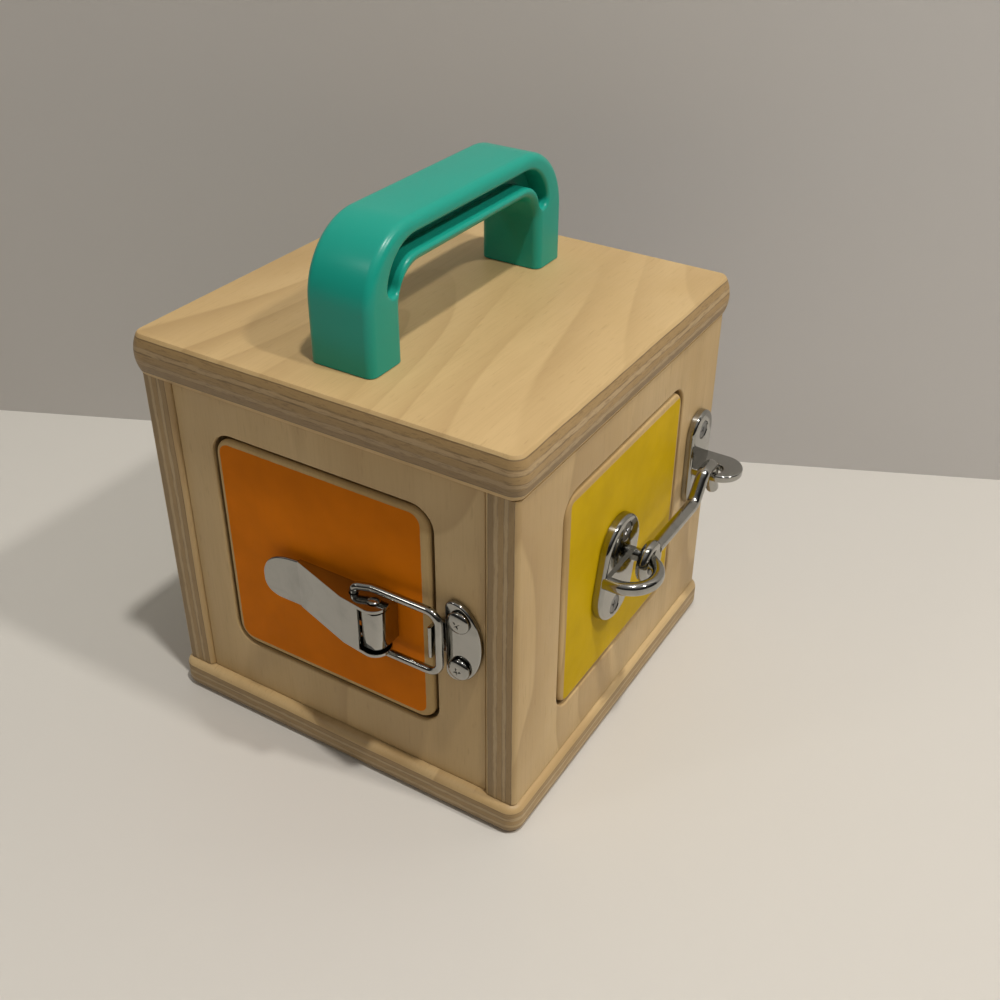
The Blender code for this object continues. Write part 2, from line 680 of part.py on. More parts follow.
def build_wall(name, side, face_w, screw_places):
    """One wall with its door opening, hinge pin bore and screw holes."""
    if face_w == SIDE_WALL_FACE:
        plan = rounded_rectangle(SIDE_WALL_LENGTH, WALL_THICK, WALL_EDGE)
    else:
        plan = oblong(FRONT_WALL_LENGTH / 2, WALL_THICK / 2)
    upright = swapped(prism(plan, WALL_FROM_Z, WALL_TO_Z), (0, 2, 1))
    wall = new_object(name, on_side(side, shifted(upright, (0, 0, face_w - WALL_THICK / 2))), "wood")
    opening = rounded_slab(OPENING_SIZE, OPENING_SIZE, OPENING_CORNER, WALL_THICK + 2 * CUT_PAST)
    start = (DOOR_CENTRE_U, DOOR_CENTRE_V, face_w - WALL_THICK - CUT_PAST)
    cut(wall, on_side(side, shifted(opening, start)))
    bore = swapped(cylinder(HINGE_HOLE_RADIUS, WALL_FROM_Z - CUT_PAST, WALL_TO_Z + CUT_PAST), (0, 2, 1))
    cut(wall, on_side(side, shifted(bore, (HINGE_U, 0, face_w - HINGE_DEPTH))))
    if screw_places:
        depth = SHANK_LENGTH + CUT_PAST
        holes = [drill(SCREW_HOLE_RADIUS, u, v, face_w, depth) for u, v in screw_places]
        cut(wall, on_side(side, merged(holes)))


def build_door(name, side, face_w, colour, screw_places):
    """One door. Its origin is on its hinge axis, at the height of its middle."""
    panel = rounded_slab(DOOR_SIZE, DOOR_SIZE, DOOR_CORNER, WALL_THICK, DOOR_EDGE, DOOR_EDGE)
    panel = shifted(panel, (DOOR_CENTRE_U, DOOR_CENTRE_V, face_w - WALL_THICK))
    hinge_w = face_w - HINGE_DEPTH
    origin = side_to_world(side, (HINGE_U, DOOR_CENTRE_V, hinge_w))
    door = new_object(name, on_side(side, panel), colour, origin)
    depth = HINGE_PIN_IN_DOOR + PIN_GAP
    top, bottom = DOOR_CENTRE_V + HALF_DOOR, DOOR_CENTRE_V - HALF_DOOR
    spans = ((top - depth, top + CUT_PAST), (bottom - CUT_PAST, bottom + depth))
    bores = [shifted(swapped(cylinder(HINGE_HOLE_RADIUS, low, high), (0, 2, 1)), (HINGE_U, 0, hinge_w))
             for low, high in spans]
    screw_depth = SHANK_LENGTH + CUT_PAST
    holes = [drill(SCREW_HOLE_RADIUS, u, v, face_w, screw_depth) for u, v in screw_places]
    cut(door, on_side(side, merged(bores + holes)))
    pin_spans = {"upper": (top - HINGE_PIN_IN_DOOR, WALL_TO_Z - CONTACT_GAP),
                 "lower": (WALL_FROM_Z + CONTACT_GAP, bottom + HINGE_PIN_IN_DOOR)}
    for where, (low, high) in pin_spans.items():
        pin = shifted(swapped(cylinder(HINGE_PIN_RADIUS, low, high), (0, 2, 1)), (HINGE_U, 0, hinge_w))
        new_object(f"{name}_pin_{where}", on_side(side, pin), "steel")


def build_dividers():
    """Two upright plates that cross on the diagonals, each slotted to half its height."""
    low, high = WALL_FROM_Z, WALL_TO_Z
    middle = (low + high) / 2
    plate = rounded_slab(DIVIDER_LENGTH, DIVIDER_THICK, DIVIDER_EDGE, high - low, steps=2)
    slot_half = DIVIDER_THICK / 2 + CONTACT_GAP
    slot = oblong(slot_half, slot_half)
    upper = prism(slot, middle - CONTACT_GAP / 2, high + CUT_PAST)
    lower = prism(slot, low - CUT_PAST, middle + CONTACT_GAP / 2)
    for name, turn, notch in (("divider_rising", 45, upper), ("divider_falling", -45, lower)):
        obj = new_object(name, shifted(spun(plate, turn), (0, 0, low)), "wood")
        cut(obj, spun(notch, 45))


# The handle


def handle_screw_places():
    reach = HANDLE_SPAN / 2 - HANDLE_LEG / 2
    return [(HANDLE_CENTRE_X, HANDLE_CENTRE_Y - reach), (HANDLE_CENTRE_X, HANDLE_CENTRE_Y + reach)]


def arch_outline(inset):
    """The handle seen from the side, as (y, z): out along the outside, back along the inside."""
    foot = BOX_HEIGHT + CONTACT_GAP
    top = BOX_HEIGHT + HANDLE_RISE
    outer = HANDLE_OUTER_RADIUS
    across = HANDLE_SPAN / 2 - outer
    inner = HANDLE_INNER_RADIUS
    inner_across = HANDLE_SPAN / 2 - HANDLE_LEG - inner
    inner_up = top - HANDLE_BAR - inner
    steps = 2 * ARC_STEPS
    outline = [(HANDLE_SPAN / 2 - inset, foot)]
    outline += arc((across, top - outer), outer - inset, 0, 90, steps)
    outline += arc((-across, top - outer), outer - inset, 90, 180, steps)
    outline += [(-HANDLE_SPAN / 2 + inset, foot), (-HANDLE_SPAN / 2 + HANDLE_LEG - inset, foot)]
    outline += arc((-inner_across, inner_up), inner + inset, 180, 90)
    outline += arc((inner_across, inner_up), inner + inset, 90, 0)
    outline.append((HANDLE_SPAN / 2 - HANDLE_LEG + inset, foot))
    return [(HANDLE_CENTRE_Y + y, z) for y, z in outline]


def slot_outline():
    """The long recess in the handle's side, as (y, z)."""
    across = HANDLE_SPAN / 2 - HANDLE_LEG + SLOT_LEG_MARGIN + SLOT_WIDTH - SLOT_OUTER_RADIUS
    up = BOX_HEIGHT + HANDLE_RISE - HANDLE_BAR + SLOT_BAR_MARGIN + SLOT_WIDTH - SLOT_OUTER_RADIUS
    far = SLOT_OUTER_RADIUS
    near = SLOT_OUTER_RADIUS - SLOT_WIDTH
    stop = SLOT_STOP_ANGLE
    start = 180 - stop
    middle = (far + near) / 2
    steps = 2 * ARC_STEPS
    right_end = arc((across, up), middle, start, start, 1)[0]
    left_end = arc((-across, up), middle, stop, stop, 1)[0]
    outline = arc((across, up), far, start, 90, steps)
    outline += arc((-across, up), far, 90, stop, steps)
    outline += arc(left_end, SLOT_WIDTH / 2, stop, stop + 180)[1:-1]
    outline += arc((-across, up), near, stop, 90, steps)
    outline += arc((across, up), near, 90, start, steps)
    outline += arc(right_end, SLOT_WIDTH / 2, start + 180, start + 360)[1:-1]
    return [(HANDLE_CENTRE_Y + y, z) for y, z in outline]


def build_handle():
    arch = layered_slab(arch_outline, HANDLE_WIDTH, HANDLE_EDGE, HANDLE_EDGE)
    arch = shifted(swapped(arch, (2, 0, 1)), (HANDLE_CENTRE_X - HANDLE_WIDTH / 2, 0, 0))
    handle = new_object("handle", arch, "teal")
    half = HANDLE_WIDTH / 2
    recess = slot_outline()
    spans = ((half - SLOT_DEPTH, half + CUT_PAST), (-half - CUT_PAST, SLOT_DEPTH - half))
    slots = merged([prism(recess, start, stop) for start, stop in spans])
    cut(handle, shifted(swapped(slots, (2, 0, 1)), (HANDLE_CENTRE_X, 0, 0)))
    depth = BOX_HEIGHT + HANDLE_SCREW_IN_LEG + PIN_GAP
    bores = [shifted(cylinder(HANDLE_SCREW_RADIUS + PIN_GAP, BOX_HEIGHT - CUT_PAST, depth), (x, y, 0))
             for x, y in handle_screw_places()]
    cut(handle, merged(bores))
    seat = HANDLE_SCREW_SEAT
    profile = ((HANDLE_SCREW_HEAD_RADIUS, seat - HANDLE_SCREW_HEAD), (HANDLE_SCREW_HEAD_RADIUS, seat),
               (HANDLE_SCREW_RADIUS, seat), (HANDLE_SCREW_RADIUS, BOX_HEIGHT + HANDLE_SCREW_IN_LEG))
    for name, (x, y) in zip(("handle_screw_front", "handle_screw_back"), handle_screw_places()):
        new_object(name, shifted(lathe(profile), (x, y, 0)), "steel")


# The draw latch


def draw_screw_places():
    backs = (DRAW_SCREW_FAR_BACK, DRAW_SCREW_NEAR_BACK)
    return [(LEVER_PIVOT_U - back, DRAW_CENTRE_V) for back in backs]


def upright_prism(outline, half_height, centre_v):
    """A prism with a (u, w) outline and an upright axis."""
    return swapped(prism(outline, centre_v - half_height, centre_v + half_height), (0, 2, 1))


def lever_outline():
    """The lever's side flange as (u, w), from the thin left end round the ear."""
    ear = (LEVER_PIVOT_U, LEVER_PIVOT_W)
    outline = [(LEVER_LEFT_U, LEVER_BACK_W), (LEVER_PIVOT_U, LEVER_PIVOT_W - LEVER_EAR_RADIUS)]
    outline += arc(ear, LEVER_EAR_RADIUS, -90, EAR_STOP_ANGLE, 2 * ARC_STEPS)[1:]
    outline += [(LEVER_KNEE_U, LEVER_KNEE_W), (LEVER_LEFT_U, LEVER_LEFT_W)]
    return outline


def lever_hollow():
    """What is cut from inside the lever, open towards the door and at the ears."""
    sheet = LEVER_SHEET
    past = CUT_PAST + LEVER_EAR_RADIUS
    slope = (LEVER_KNEE_W - LEVER_LEFT_W) / (LEVER_KNEE_U - LEVER_LEFT_U)
    return [
        (LEVER_LEFT_U + sheet, LEVER_BACK_W - CUT_PAST),
        (LEVER_PIVOT_U + past, LEVER_BACK_W - CUT_PAST),
        (LEVER_PIVOT_U + past, LEVER_PIVOT_W + past),
        (LEVER_FRONT_END_U, LEVER_PIVOT_W + past),
        (LEVER_FRONT_END_U, LEVER_KNEE_W - sheet / 2),
        (LEVER_KNEE_U, LEVER_KNEE_W - sheet),
        (LEVER_LEFT_U + sheet, LEVER_LEFT_W + slope * sheet - sheet),
    ]


def paddle():
    """The lever's flat end, which narrows to a round tip and leaves the door as it goes."""
    half = LEVER_HEIGHT / 2
    stations = [(LEVER_LEFT_U + PADDLE_LAP, LEVER_LEFT_W, half)]
    for reach, rise, height in zip(PADDLE_REACH_SHARES, PADDLE_RISE_SHARES, PADDLE_HEIGHT_SHARES):
        end_u = LEVER_LEFT_U - PADDLE_REACH * reach
        stations.append((end_u, LEVER_LEFT_W + PADDLE_RISE * rise, half * height))
    rings = []
    for u, front_w, reach in stations:
        back_w = front_w - LEVER_SHEET
        rings.append([(u, -reach, back_w), (u, reach, back_w), (u, reach, front_w), (u, -reach, front_w)])
    return shifted(loft(rings), (0, DRAW_CENTRE_V, 0))


def build_draw_latch():
    face = FRONT_WALL_FACE + CONTACT_GAP
    length = DRAW_PLATE_BACK + DRAW_PLATE_AHEAD
    middle_u = LEVER_PIVOT_U + (DRAW_PLATE_AHEAD - DRAW_PLATE_BACK) / 2
    plate = rounded_slab(length, DRAW_PLATE_HEIGHT, DRAW_PLATE_CORNER, DRAW_PLATE_THICK)
    plate = shifted(plate, (middle_u, DRAW_CENTRE_V, face))
    base = new_object("draw_base", on_side(FRONT, plate), "chrome")
    pivot = (LEVER_PIVOT_U, LEVER_PIVOT_W)
    knuckle = arc(pivot, KNUCKLE_RADIUS, 0, 180, 2 * ARC_STEPS)
    knuckle += [(LEVER_PIVOT_U - KNUCKLE_RADIUS, face + DRAW_PLATE_THICK / 2),
                (LEVER_PIVOT_U + KNUCKLE_RADIUS, face + DRAW_PLATE_THICK / 2)]
    join(base, on_side(FRONT, upright_prism(knuckle, KNUCKLE_HALF_HEIGHT, DRAW_CENTRE_V)))
    bore = arc(pivot, RIVET_RADIUS + PIN_GAP, 0, 360, ROUND_STEPS)[:-1]
    cut(base, on_side(FRONT, upright_prism(bore, LEVER_HEIGHT, DRAW_CENTRE_V)))
    front = face + DRAW_PLATE_THICK
    depth = DRAW_PLATE_THICK + CUT_PAST
    holes = [drill(SCREW_HOLE_RADIUS, u, v, front, depth) for u, v in draw_screw_places()]
    cut(base, on_side(FRONT, merged(holes)))

    half = LEVER_HEIGHT / 2
    origin = side_to_world(FRONT, (LEVER_PIVOT_U, DRAW_CENTRE_V, LEVER_PIVOT_W))
    channel = upright_prism(lever_outline(), half, DRAW_CENTRE_V)
    lever = new_object("draw_lever", on_side(FRONT, channel), "chrome", origin)
    cut(lever, on_side(FRONT, upright_prism(lever_hollow(), half - LEVER_SHEET, DRAW_CENTRE_V)))
    join(lever, on_side(FRONT, paddle()))
    bail_pivot = (BAIL_PIVOT_U, BAIL_PIVOT_W)
    bail_hole = arc(bail_pivot, BAIL_RADIUS + PIN_GAP, 0, 360, ROUND_STEPS)[:-1]
    through = [upright_prism(hole, LEVER_HEIGHT, DRAW_CENTRE_V) for hole in (bore, bail_hole)]
    cut(lever, on_side(FRONT, merged(through)))

    reach = half + CONTACT_GAP
    profile = ((RIVET_HEAD_RADIUS, -reach - RIVET_HEAD), (RIVET_HEAD_RADIUS, -reach), (RIVET_RADIUS, -reach),
               (RIVET_RADIUS, reach), (RIVET_HEAD_RADIUS, reach), (RIVET_HEAD_RADIUS, reach + RIVET_HEAD))
    rivet = shifted(swapped(lathe(profile), (0, 2, 1)), (LEVER_PIVOT_U, DRAW_CENTRE_V, LEVER_PIVOT_W))
    new_object("draw_rivet", on_side(FRONT, rivet), "chrome")

    build_bail(bail_pivot)
    for name, (u, v) in zip(("draw_base_screw_left", "draw_base_screw_right"), draw_screw_places()):
        screw(name, FRONT, u, v, front + CONTACT_GAP, SMALL_HEAD_RADIUS, SMALL_HEAD)


def build_bail(bail_pivot):
    """The wire loop: in through the lever's flange, along an arm, across the bar, and back the same way."""
    inside = LEVER_HEIGHT / 2 - BAIL_TIP_INSIDE
    arm = BAIL_HALF_HEIGHT
    pivot_u, pivot_w = bail_pivot
    half_path = [(pivot_u, inside, pivot_w), (pivot_u, arm, pivot_w), (BAIL_ARM_START_U, arm, BAIL_ARM_W),
                 (BAIL_BAR_U, arm, BAIL_ARM_W)]
    corners = half_path + [(u, -v, w) for u, v, w in reversed(half_path)]
    bends = (BAIL_END_BEND, BAIL_CORNER, BAIL_CORNER, BAIL_CORNER, BAIL_CORNER, BAIL_END_BEND)
    wire = shifted(tube(bent_path(corners, bends), BAIL_RADIUS), (0, DRAW_CENTRE_V, 0))
    origin = side_to_world(FRONT, (pivot_u, DRAW_CENTRE_V, pivot_w))
    new_object("draw_bail", on_side(FRONT, wire), "chrome", origin)


def keeper_screw_places():
    return [(KEEPER_SCREW_U, KEEPER_CENTRE_V + KEEPER_SCREW_SPREAD),
            (KEEPER_SCREW_U, KEEPER_CENTRE_V - KEEPER_SCREW_SPREAD)]


def build_draw_keeper():
    """A plate with a straight left edge and a bulging right one, a trough for the bar and a lip."""
    face = FRONT_WALL_FACE + CONTACT_GAP
    corner = KEEPER_CORNER
    angles = np.radians(np.linspace(-KEEPER_BULGE_ANGLE, KEEPER_BULGE_ANGLE, 4 * ARC_STEPS))

    def outline_at(inset):
        reach = KEEPER_RIGHT_U - KEEPER_LEFT_U - inset
        tall = KEEPER_HALF_HEIGHT - inset
        bulge = [(reach * math.cos(a), tall * math.sin(a)) for a in angles]
        left = arc((corner, tall - corner), corner - inset / 2, 90, 180)
        lower = arc((corner, corner - tall), corner - inset / 2, 180, 270)
        return bulge + left + lower

    plate = layered_slab(outline_at, KEEPER_THICK, front_edge=KEEPER_EDGE)
    plate = shifted(plate, (KEEPER_LEFT_U, KEEPER_CENTRE_V, face))
    keeper = new_object("draw_keeper", on_side(FRONT, plate), "chrome")
    trough_end = KEEPER_LEFT_U + 2 * JOIN_DEPTH
    trough = [(LIP_LEFT_U, face), (trough_end, face), (trough_end, face + TROUGH_THICK),
              (LIP_RIGHT_U, face + TROUGH_THICK), (LIP_RIGHT_U, LIP_TOP_W), (LIP_LEFT_U, LIP_TOP_W)]
    join(keeper, on_side(FRONT, upright_prism(trough, LIP_HALF_HEIGHT, KEEPER_CENTRE_V)))
    front = face + KEEPER_THICK
    depth = KEEPER_THICK + CUT_PAST
    holes = [drill(SCREW_HOLE_RADIUS, u, v, front, depth) for u, v in keeper_screw_places()]
    cut(keeper, on_side(FRONT, merged(holes)))
    for name, (u, v) in zip(("draw_keeper_screw_upper", "draw_keeper_screw_lower"), keeper_screw_places()):
        screw(name, FRONT, u, v, front + CONTACT_GAP, LARGE_HEAD_RADIUS, LARGE_HEAD)


# The hook latch


def hook_screw_places():
    lean = math.radians(HOOK_PLATE_TILT)
    du = HOOK_SCREW_SPREAD * math.sin(lean)
    dv = HOOK_SCREW_SPREAD * math.cos(lean)
    return [(HOOK_PLATE_U + du, HOOK_PLATE_V + dv), (HOOK_PLATE_U - du, HOOK_PLATE_V - dv)]


def hook_keeper_screw_places():
    return [(HOOK_KEEPER_U, HOOK_KEEPER_V + HOOK_KEEPER_SCREW_SPREAD),
            (HOOK_KEEPER_U, HOOK_KEEPER_V - HOOK_KEEPER_SCREW_SPREAD)]


def tongue(half_width, centre_w, root_w, thickness, edge, bottom_v, centre_u):
    """A level tongue with a round end, reaching outwards from root_w. Its own axes are (u, w, v)."""

    def outline_at(inset):
        round_end = arc((0, centre_w), half_width - inset, 0, 180, 2 * ARC_STEPS)
        return round_end + [(inset - half_width, root_w), (half_width - inset, root_w)]

    slab = layered_slab(outline_at, thickness, edge, edge)
    return shifted(swapped(slab, (0, 2, 1)), (centre_u, bottom_v, 0))


def build_hook_base():
    face = SIDE_WALL_FACE + CONTACT_GAP
    plate = rounded_slab(HOOK_PLATE_WIDTH, HOOK_PLATE_HEIGHT, HOOK_PLATE_WIDTH / 2, HOOK_PLATE_THICK,
                         front_edge=HOOK_PLATE_EDGE)
    plate = shifted(spun(plate, -HOOK_PLATE_TILT), (HOOK_PLATE_U, HOOK_PLATE_V, face))
    base = new_object("hook_base", on_side(RIGHT, plate), "chrome")
    front = face + HOOK_PLATE_THICK
    bottom = RING_CENTRE_V - RING_THICK / 2
    root_w = front - JOIN_DEPTH
    ring = tongue(RING_OUTER_RADIUS, RING_CENTRE_W, root_w, RING_THICK, RING_EDGE, bottom, RING_CENTRE_U)
    join(base, on_side(RIGHT, ring))

    def hole_at(inset):
        radius = RING_INNER_RADIUS - inset
        round_end = arc((0, RING_CENTRE_W), radius, 0, 180, 2 * ARC_STEPS)
        return round_end + [(-radius, front + JOIN_DEPTH), (radius, front + JOIN_DEPTH)]

    hole = swapped(flared_cutter(hole_at, RING_THICK, RING_EDGE), (0, 2, 1))
    cut(base, on_side(RIGHT, shifted(hole, (RING_CENTRE_U, bottom, 0))))
    holes = [sunk_hole(u, v, front, HOOK_PLATE_THICK) for u, v in hook_screw_places()]
    cut(base, on_side(RIGHT, merged(holes)))
    for name, (u, v) in zip(("hook_base_screw_upper", "hook_base_screw_lower"), hook_screw_places()):
        screw(name, RIGHT, u, v, front - CONTACT_GAP, SUNK_HEAD_RADIUS, SUNK_HEAD_DEPTH, sunk=True)


def build_hook():
    """A flat eye and a bent rod in one upright plane. Its origin is on the lift axis."""
    centre = (EYE_U, EYE_V)
    eye_radius = EYE_INNER_RADIUS + EYE_WIRE_RADIUS
    loop = [(u, v, EYE_W) for u, v in arc(centre, eye_radius, 0, 360, ROUND_STEPS)[:-1]]
    origin = side_to_world(RIGHT, (EYE_U, EYE_V, EYE_W))
    hook = new_object("hook", on_side(RIGHT, tube(loop, EYE_WIRE_RADIUS, closed=True)), "chrome", origin)
    start_u = EYE_U + math.sqrt(eye_radius ** 2 - (HOOK_ROD_V - EYE_V) ** 2)
    corners = ((start_u, HOOK_ROD_V), (HOOK_RISE_FROM_U, HOOK_ROD_V), (HOOK_RISE_TO_U, HOOK_TOP_V),
               (HOOK_DROP_U, HOOK_TOP_V), (HOOK_DROP_U, HOOK_TIP_BEND_V), (HOOK_TIP_U, HOOK_TIP_V))
    bends = (HOOK_FOOT_BEND, HOOK_SHOULDER_BEND, HOOK_TOP_BEND, HOOK_TIP_BEND)
    path = bent_path([(u, v, EYE_W) for u, v in corners], bends)
    join(hook, on_side(RIGHT, tube(path, HOOK_ROD_RADIUS)))


def build_hook_keeper():
    face = SIDE_WALL_FACE + CONTACT_GAP
    plate = rounded_slab(HOOK_KEEPER_WIDTH, HOOK_KEEPER_HEIGHT, HOOK_KEEPER_WIDTH / 2, HOOK_KEEPER_THICK,
                         front_edge=HOOK_KEEPER_EDGE)
    plate = shifted(plate, (HOOK_KEEPER_U, HOOK_KEEPER_V, face))
    keeper = new_object("hook_keeper", on_side(RIGHT, plate), "chrome")
    front = face + HOOK_KEEPER_THICK
    tab = tongue(TAB_RADIUS - TAB_EDGE / 2, TAB_CENTRE_W, front - JOIN_DEPTH, TAB_THICK, TAB_EDGE,
                 TAB_TOP_V - TAB_THICK, HOOK_KEEPER_U)
    join(keeper, on_side(RIGHT, tab))
    hole = arc((TAB_HOLE_U, TAB_HOLE_W), TAB_HOLE_RADIUS, 0, 360, ROUND_STEPS)[:-1]
    middle = TAB_TOP_V - TAB_THICK / 2
    cut(keeper, on_side(RIGHT, upright_prism(hole, TAB_THICK, middle)))
    reach = 2 * TAB_RADIUS
    drift = reach * math.tan(math.radians(TAB_EXIT_TURN))
    exit_way = [(TAB_EXIT_U, TAB_HOLE_W), (TAB_EXIT_U - drift, TAB_HOLE_W + reach),
                (TAB_EXIT_U - reach, TAB_HOLE_W + reach), (TAB_EXIT_U - reach, TAB_HOLE_W)]
    cut(keeper, on_side(RIGHT, upright_prism(exit_way, TAB_THICK, middle)))
    places = hook_keeper_screw_places()
    cut(keeper, on_side(RIGHT, merged([sunk_hole(u, v, front, HOOK_KEEPER_THICK) for u, v in places])))
    for name, (u, v) in zip(("hook_keeper_screw_upper", "hook_keeper_screw_lower"), places):
        screw(name, RIGHT, u, v, front - CONTACT_GAP, SUNK_HEAD_RADIUS, SUNK_HEAD_DEPTH, sunk=True)


# The barrel bolt


def bolt_screw_places(u):
    return [(u, BOLT_V + BOLT_SCREW_SPREAD), (u, BOLT_V - BOLT_SCREW_SPREAD)]


def hoop(from_u, root_w):
    """A hoop that the bolt slides through, its axis along u."""
    outline = arc((BOLT_V, BOLT_AXIS_W), HOOP_RADIUS, 0, 180, 2 * ARC_STEPS)
    outline += [(BOLT_V - HOOP_RADIUS, root_w), (BOLT_V + HOOP_RADIUS, root_w)]
    return swapped(prism(outline, from_u, from_u + HOOP_LENGTH), (2, 0, 1))


def bolt_bore(from_u, to_u, play):
    outline = arc((BOLT_V, BOLT_AXIS_W), BOLT_RADIUS + play, 0, 360, ROUND_STEPS)[:-1]
    return swapped(prism(outline, from_u, to_u), (2, 0, 1))


def strap(from_u, root_w):
    """The square hoop of the keeper, its axis along u."""
    across, up = HOOP_RADIUS - STRAP_CORNER, BOLT_AXIS_W + HOOP_RADIUS - STRAP_CORNER
    outline = arc((BOLT_V + across, up), STRAP_CORNER, 0, 90)
    outline += arc((BOLT_V - across, up), STRAP_CORNER, 90, 180)
    outline += [(BOLT_V - HOOP_RADIUS, root_w), (BOLT_V + HOOP_RADIUS, root_w)]
    return swapped(prism(outline, from_u, from_u + HOOP_LENGTH), (2, 0, 1))


def strap_hole(from_u, to_u):
    half = BOLT_RADIUS + STRAP_PLAY
    hole = shifted(prism(oblong(half, half), from_u, to_u), (BOLT_V, BOLT_AXIS_W, 0))
    return swapped(hole, (2, 0, 1))


def bolt_plate(name, from_u, to_u, stands, hole, screw_u):
    face = SIDE_WALL_FACE + CONTACT_GAP
    plate = rounded_slab(to_u - from_u, BOLT_PLATE_HEIGHT, BOLT_PLATE_CORNER, BOLT_PLATE_THICK)
    middle = (from_u + to_u) / 2
    obj = new_object(name, on_side(LEFT, shifted(plate, (middle, BOLT_V, face))), "steel")
    front = face + BOLT_PLATE_THICK
    join(obj, on_side(LEFT, merged(stands)))
    cut(obj, on_side(LEFT, hole))
    places = bolt_screw_places(screw_u)
    holes = [drill(SCREW_HOLE_RADIUS, u, v, front, BOLT_PLATE_THICK + CUT_PAST) for u, v in places]
    cut(obj, on_side(LEFT, merged(holes)))
    for where, (u, v) in zip(("upper", "lower"), places):
        screw(f"{name}_screw_{where}", LEFT, u, v, front + CONTACT_GAP, SMALL_HEAD_RADIUS, SMALL_HEAD)


def build_barrel_bolt():
    root_w = SIDE_WALL_FACE + CONTACT_GAP + BOLT_PLATE_THICK - JOIN_DEPTH
    from_u, to_u = BOLT_PLATE_FROM_U, BOLT_PLATE_TO_U
    hoops = [hoop(u, root_w) for u in (from_u + HOOP_INSET, to_u - HOOP_INSET - HOOP_LENGTH)]
    bore = bolt_bore(from_u - CUT_PAST, to_u + CUT_PAST, PIN_GAP)
    bolt_plate("bolt_guide", from_u, to_u, hoops, bore, BOLT_SCREW_U)
    from_u, to_u = BOLT_KEEPER_FROM_U, BOLT_KEEPER_TO_U
    stands = [strap(from_u + HOOP_INSET, root_w)]
    hole = strap_hole(from_u - CUT_PAST, to_u + CUT_PAST)
    bolt_plate("bolt_keeper", from_u, to_u, stands, hole, BOLT_KEEPER_SCREW_U)
    shy = BOLT_RADIUS - BOLT_TIP_ROUND
    profile = ((shy, BOLT_FROM_U), (BOLT_RADIUS, BOLT_FROM_U + BOLT_TIP_ROUND),
               (BOLT_RADIUS, BOLT_TO_U - BOLT_TIP_ROUND), (shy, BOLT_TO_U))
    rod = shifted(swapped(lathe(profile), (2, 0, 1)), (0, BOLT_V, BOLT_AXIS_W))
    origin = side_to_world(LEFT, (BOLT_KNOB_U, BOLT_V, BOLT_AXIS_W))
    new_object("bolt", on_side(LEFT, rod), "chrome", origin)
    ball = BOLT_KNOB_BALL
    profile = [(BOLT_KNOB_STEM, 0.0)]
    profile += arc((0, BOLT_KNOB_REACH), ball, BALL_FROM_ANGLE, BALL_TO_ANGLE, 2 * ARC_STEPS)
    knob = shifted(lathe(profile), (BOLT_KNOB_U, BOLT_V, BOLT_AXIS_W))
    obj = new_object("bolt_knob", on_side(LEFT, knob), "chrome", origin)
    cut(obj, on_side(LEFT, bolt_bore(BOLT_FROM_U, BOLT_TO_U, CONTACT_GAP)))


# The turn button and the knob


def build_turn_button():
    length = BUTTON_LONG_END + BUTTON_SHORT_END
    offset = (BUTTON_LONG_END - BUTTON_SHORT_END) / 2
    seat = FRONT_WALL_FACE + CONTACT_GAP
    button = rounded_slab(BUTTON_WIDTH, length, BUTTON_WIDTH / 2, BUTTON_THICK, BUTTON_EDGE, BUTTON_EDGE)
    origin = side_to_world(BACK, (BUTTON_U, DOOR_CENTRE_V, seat))
    button = shifted(button, (BUTTON_U, DOOR_CENTRE_V + offset, seat))
    obj = new_object("turn_button", on_side(BACK, button), "wood", origin)
    hole = cylinder(BUTTON_HOLE_RADIUS, -CUT_PAST, BUTTON_THICK + CUT_PAST)
    cut(obj, on_side(BACK, shifted(hole, (BUTTON_U, DOOR_CENTRE_V, seat))))
    head_seat = seat + BUTTON_THICK + CONTACT_GAP
    profile = ((SHANK_RADIUS, -BUTTON_THICK - SHANK_LENGTH), (SHANK_RADIUS, 0.0),
               (LARGE_HEAD_RADIUS, 0.0), (LARGE_HEAD_RADIUS, HEAD_CREST), (LARGE_HEAD_RADIUS / 2, LARGE_HEAD))
    pivot = shifted(lathe(profile), (BUTTON_U, DOOR_CENTRE_V, head_seat))
    new_object("turn_button_screw", on_side(BACK, pivot), "chrome")


def build_back_knob():
    shares = zip(KNOB_RADIUS_SHARES, KNOB_HEIGHT_SHARES)
    knob = lathe([(KNOB_RADIUS * across, KNOB_HEIGHT * up) for across, up in shares])
    seat = FRONT_WALL_FACE + CONTACT_GAP
    new_object("back_knob", on_side(BACK, shifted(knob, (KNOB_U, DOOR_CENTRE_V, seat))), "wood")


def build():
    build_panels()
    build_wall("wall_front", FRONT, FRONT_WALL_FACE, keeper_screw_places())
    build_wall("wall_right", RIGHT, SIDE_WALL_FACE, hook_keeper_screw_places())
    build_wall("wall_back", BACK, FRONT_WALL_FACE, [(BUTTON_U, DOOR_CENTRE_V)])
    build_wall("wall_left", LEFT, SIDE_WALL_FACE, bolt_screw_places(BOLT_KEEPER_SCREW_U))
    build_dividers()
    build_door("door_front", FRONT, FRONT_WALL_FACE, "orange", draw_screw_places())
    build_door("door_right", RIGHT, SIDE_WALL_FACE, "yellow", hook_screw_places())
    build_door("door_back", BACK, FRONT_WALL_FACE, "blue", [])
    build_door("door_left", LEFT, SIDE_WALL_FACE, "green", bolt_screw_places(BOLT_SCREW_U))
    build_handle()
    build_draw_latch()
    build_draw_keeper()
    build_hook_base()
    build_hook()
    build_hook_keeper()
    build_barrel_bolt()
    build_turn_button()
    build_back_knob()


for old in list(bpy.data.objects):
    bpy.data.objects.remove(old, do_unlink=True)
build()
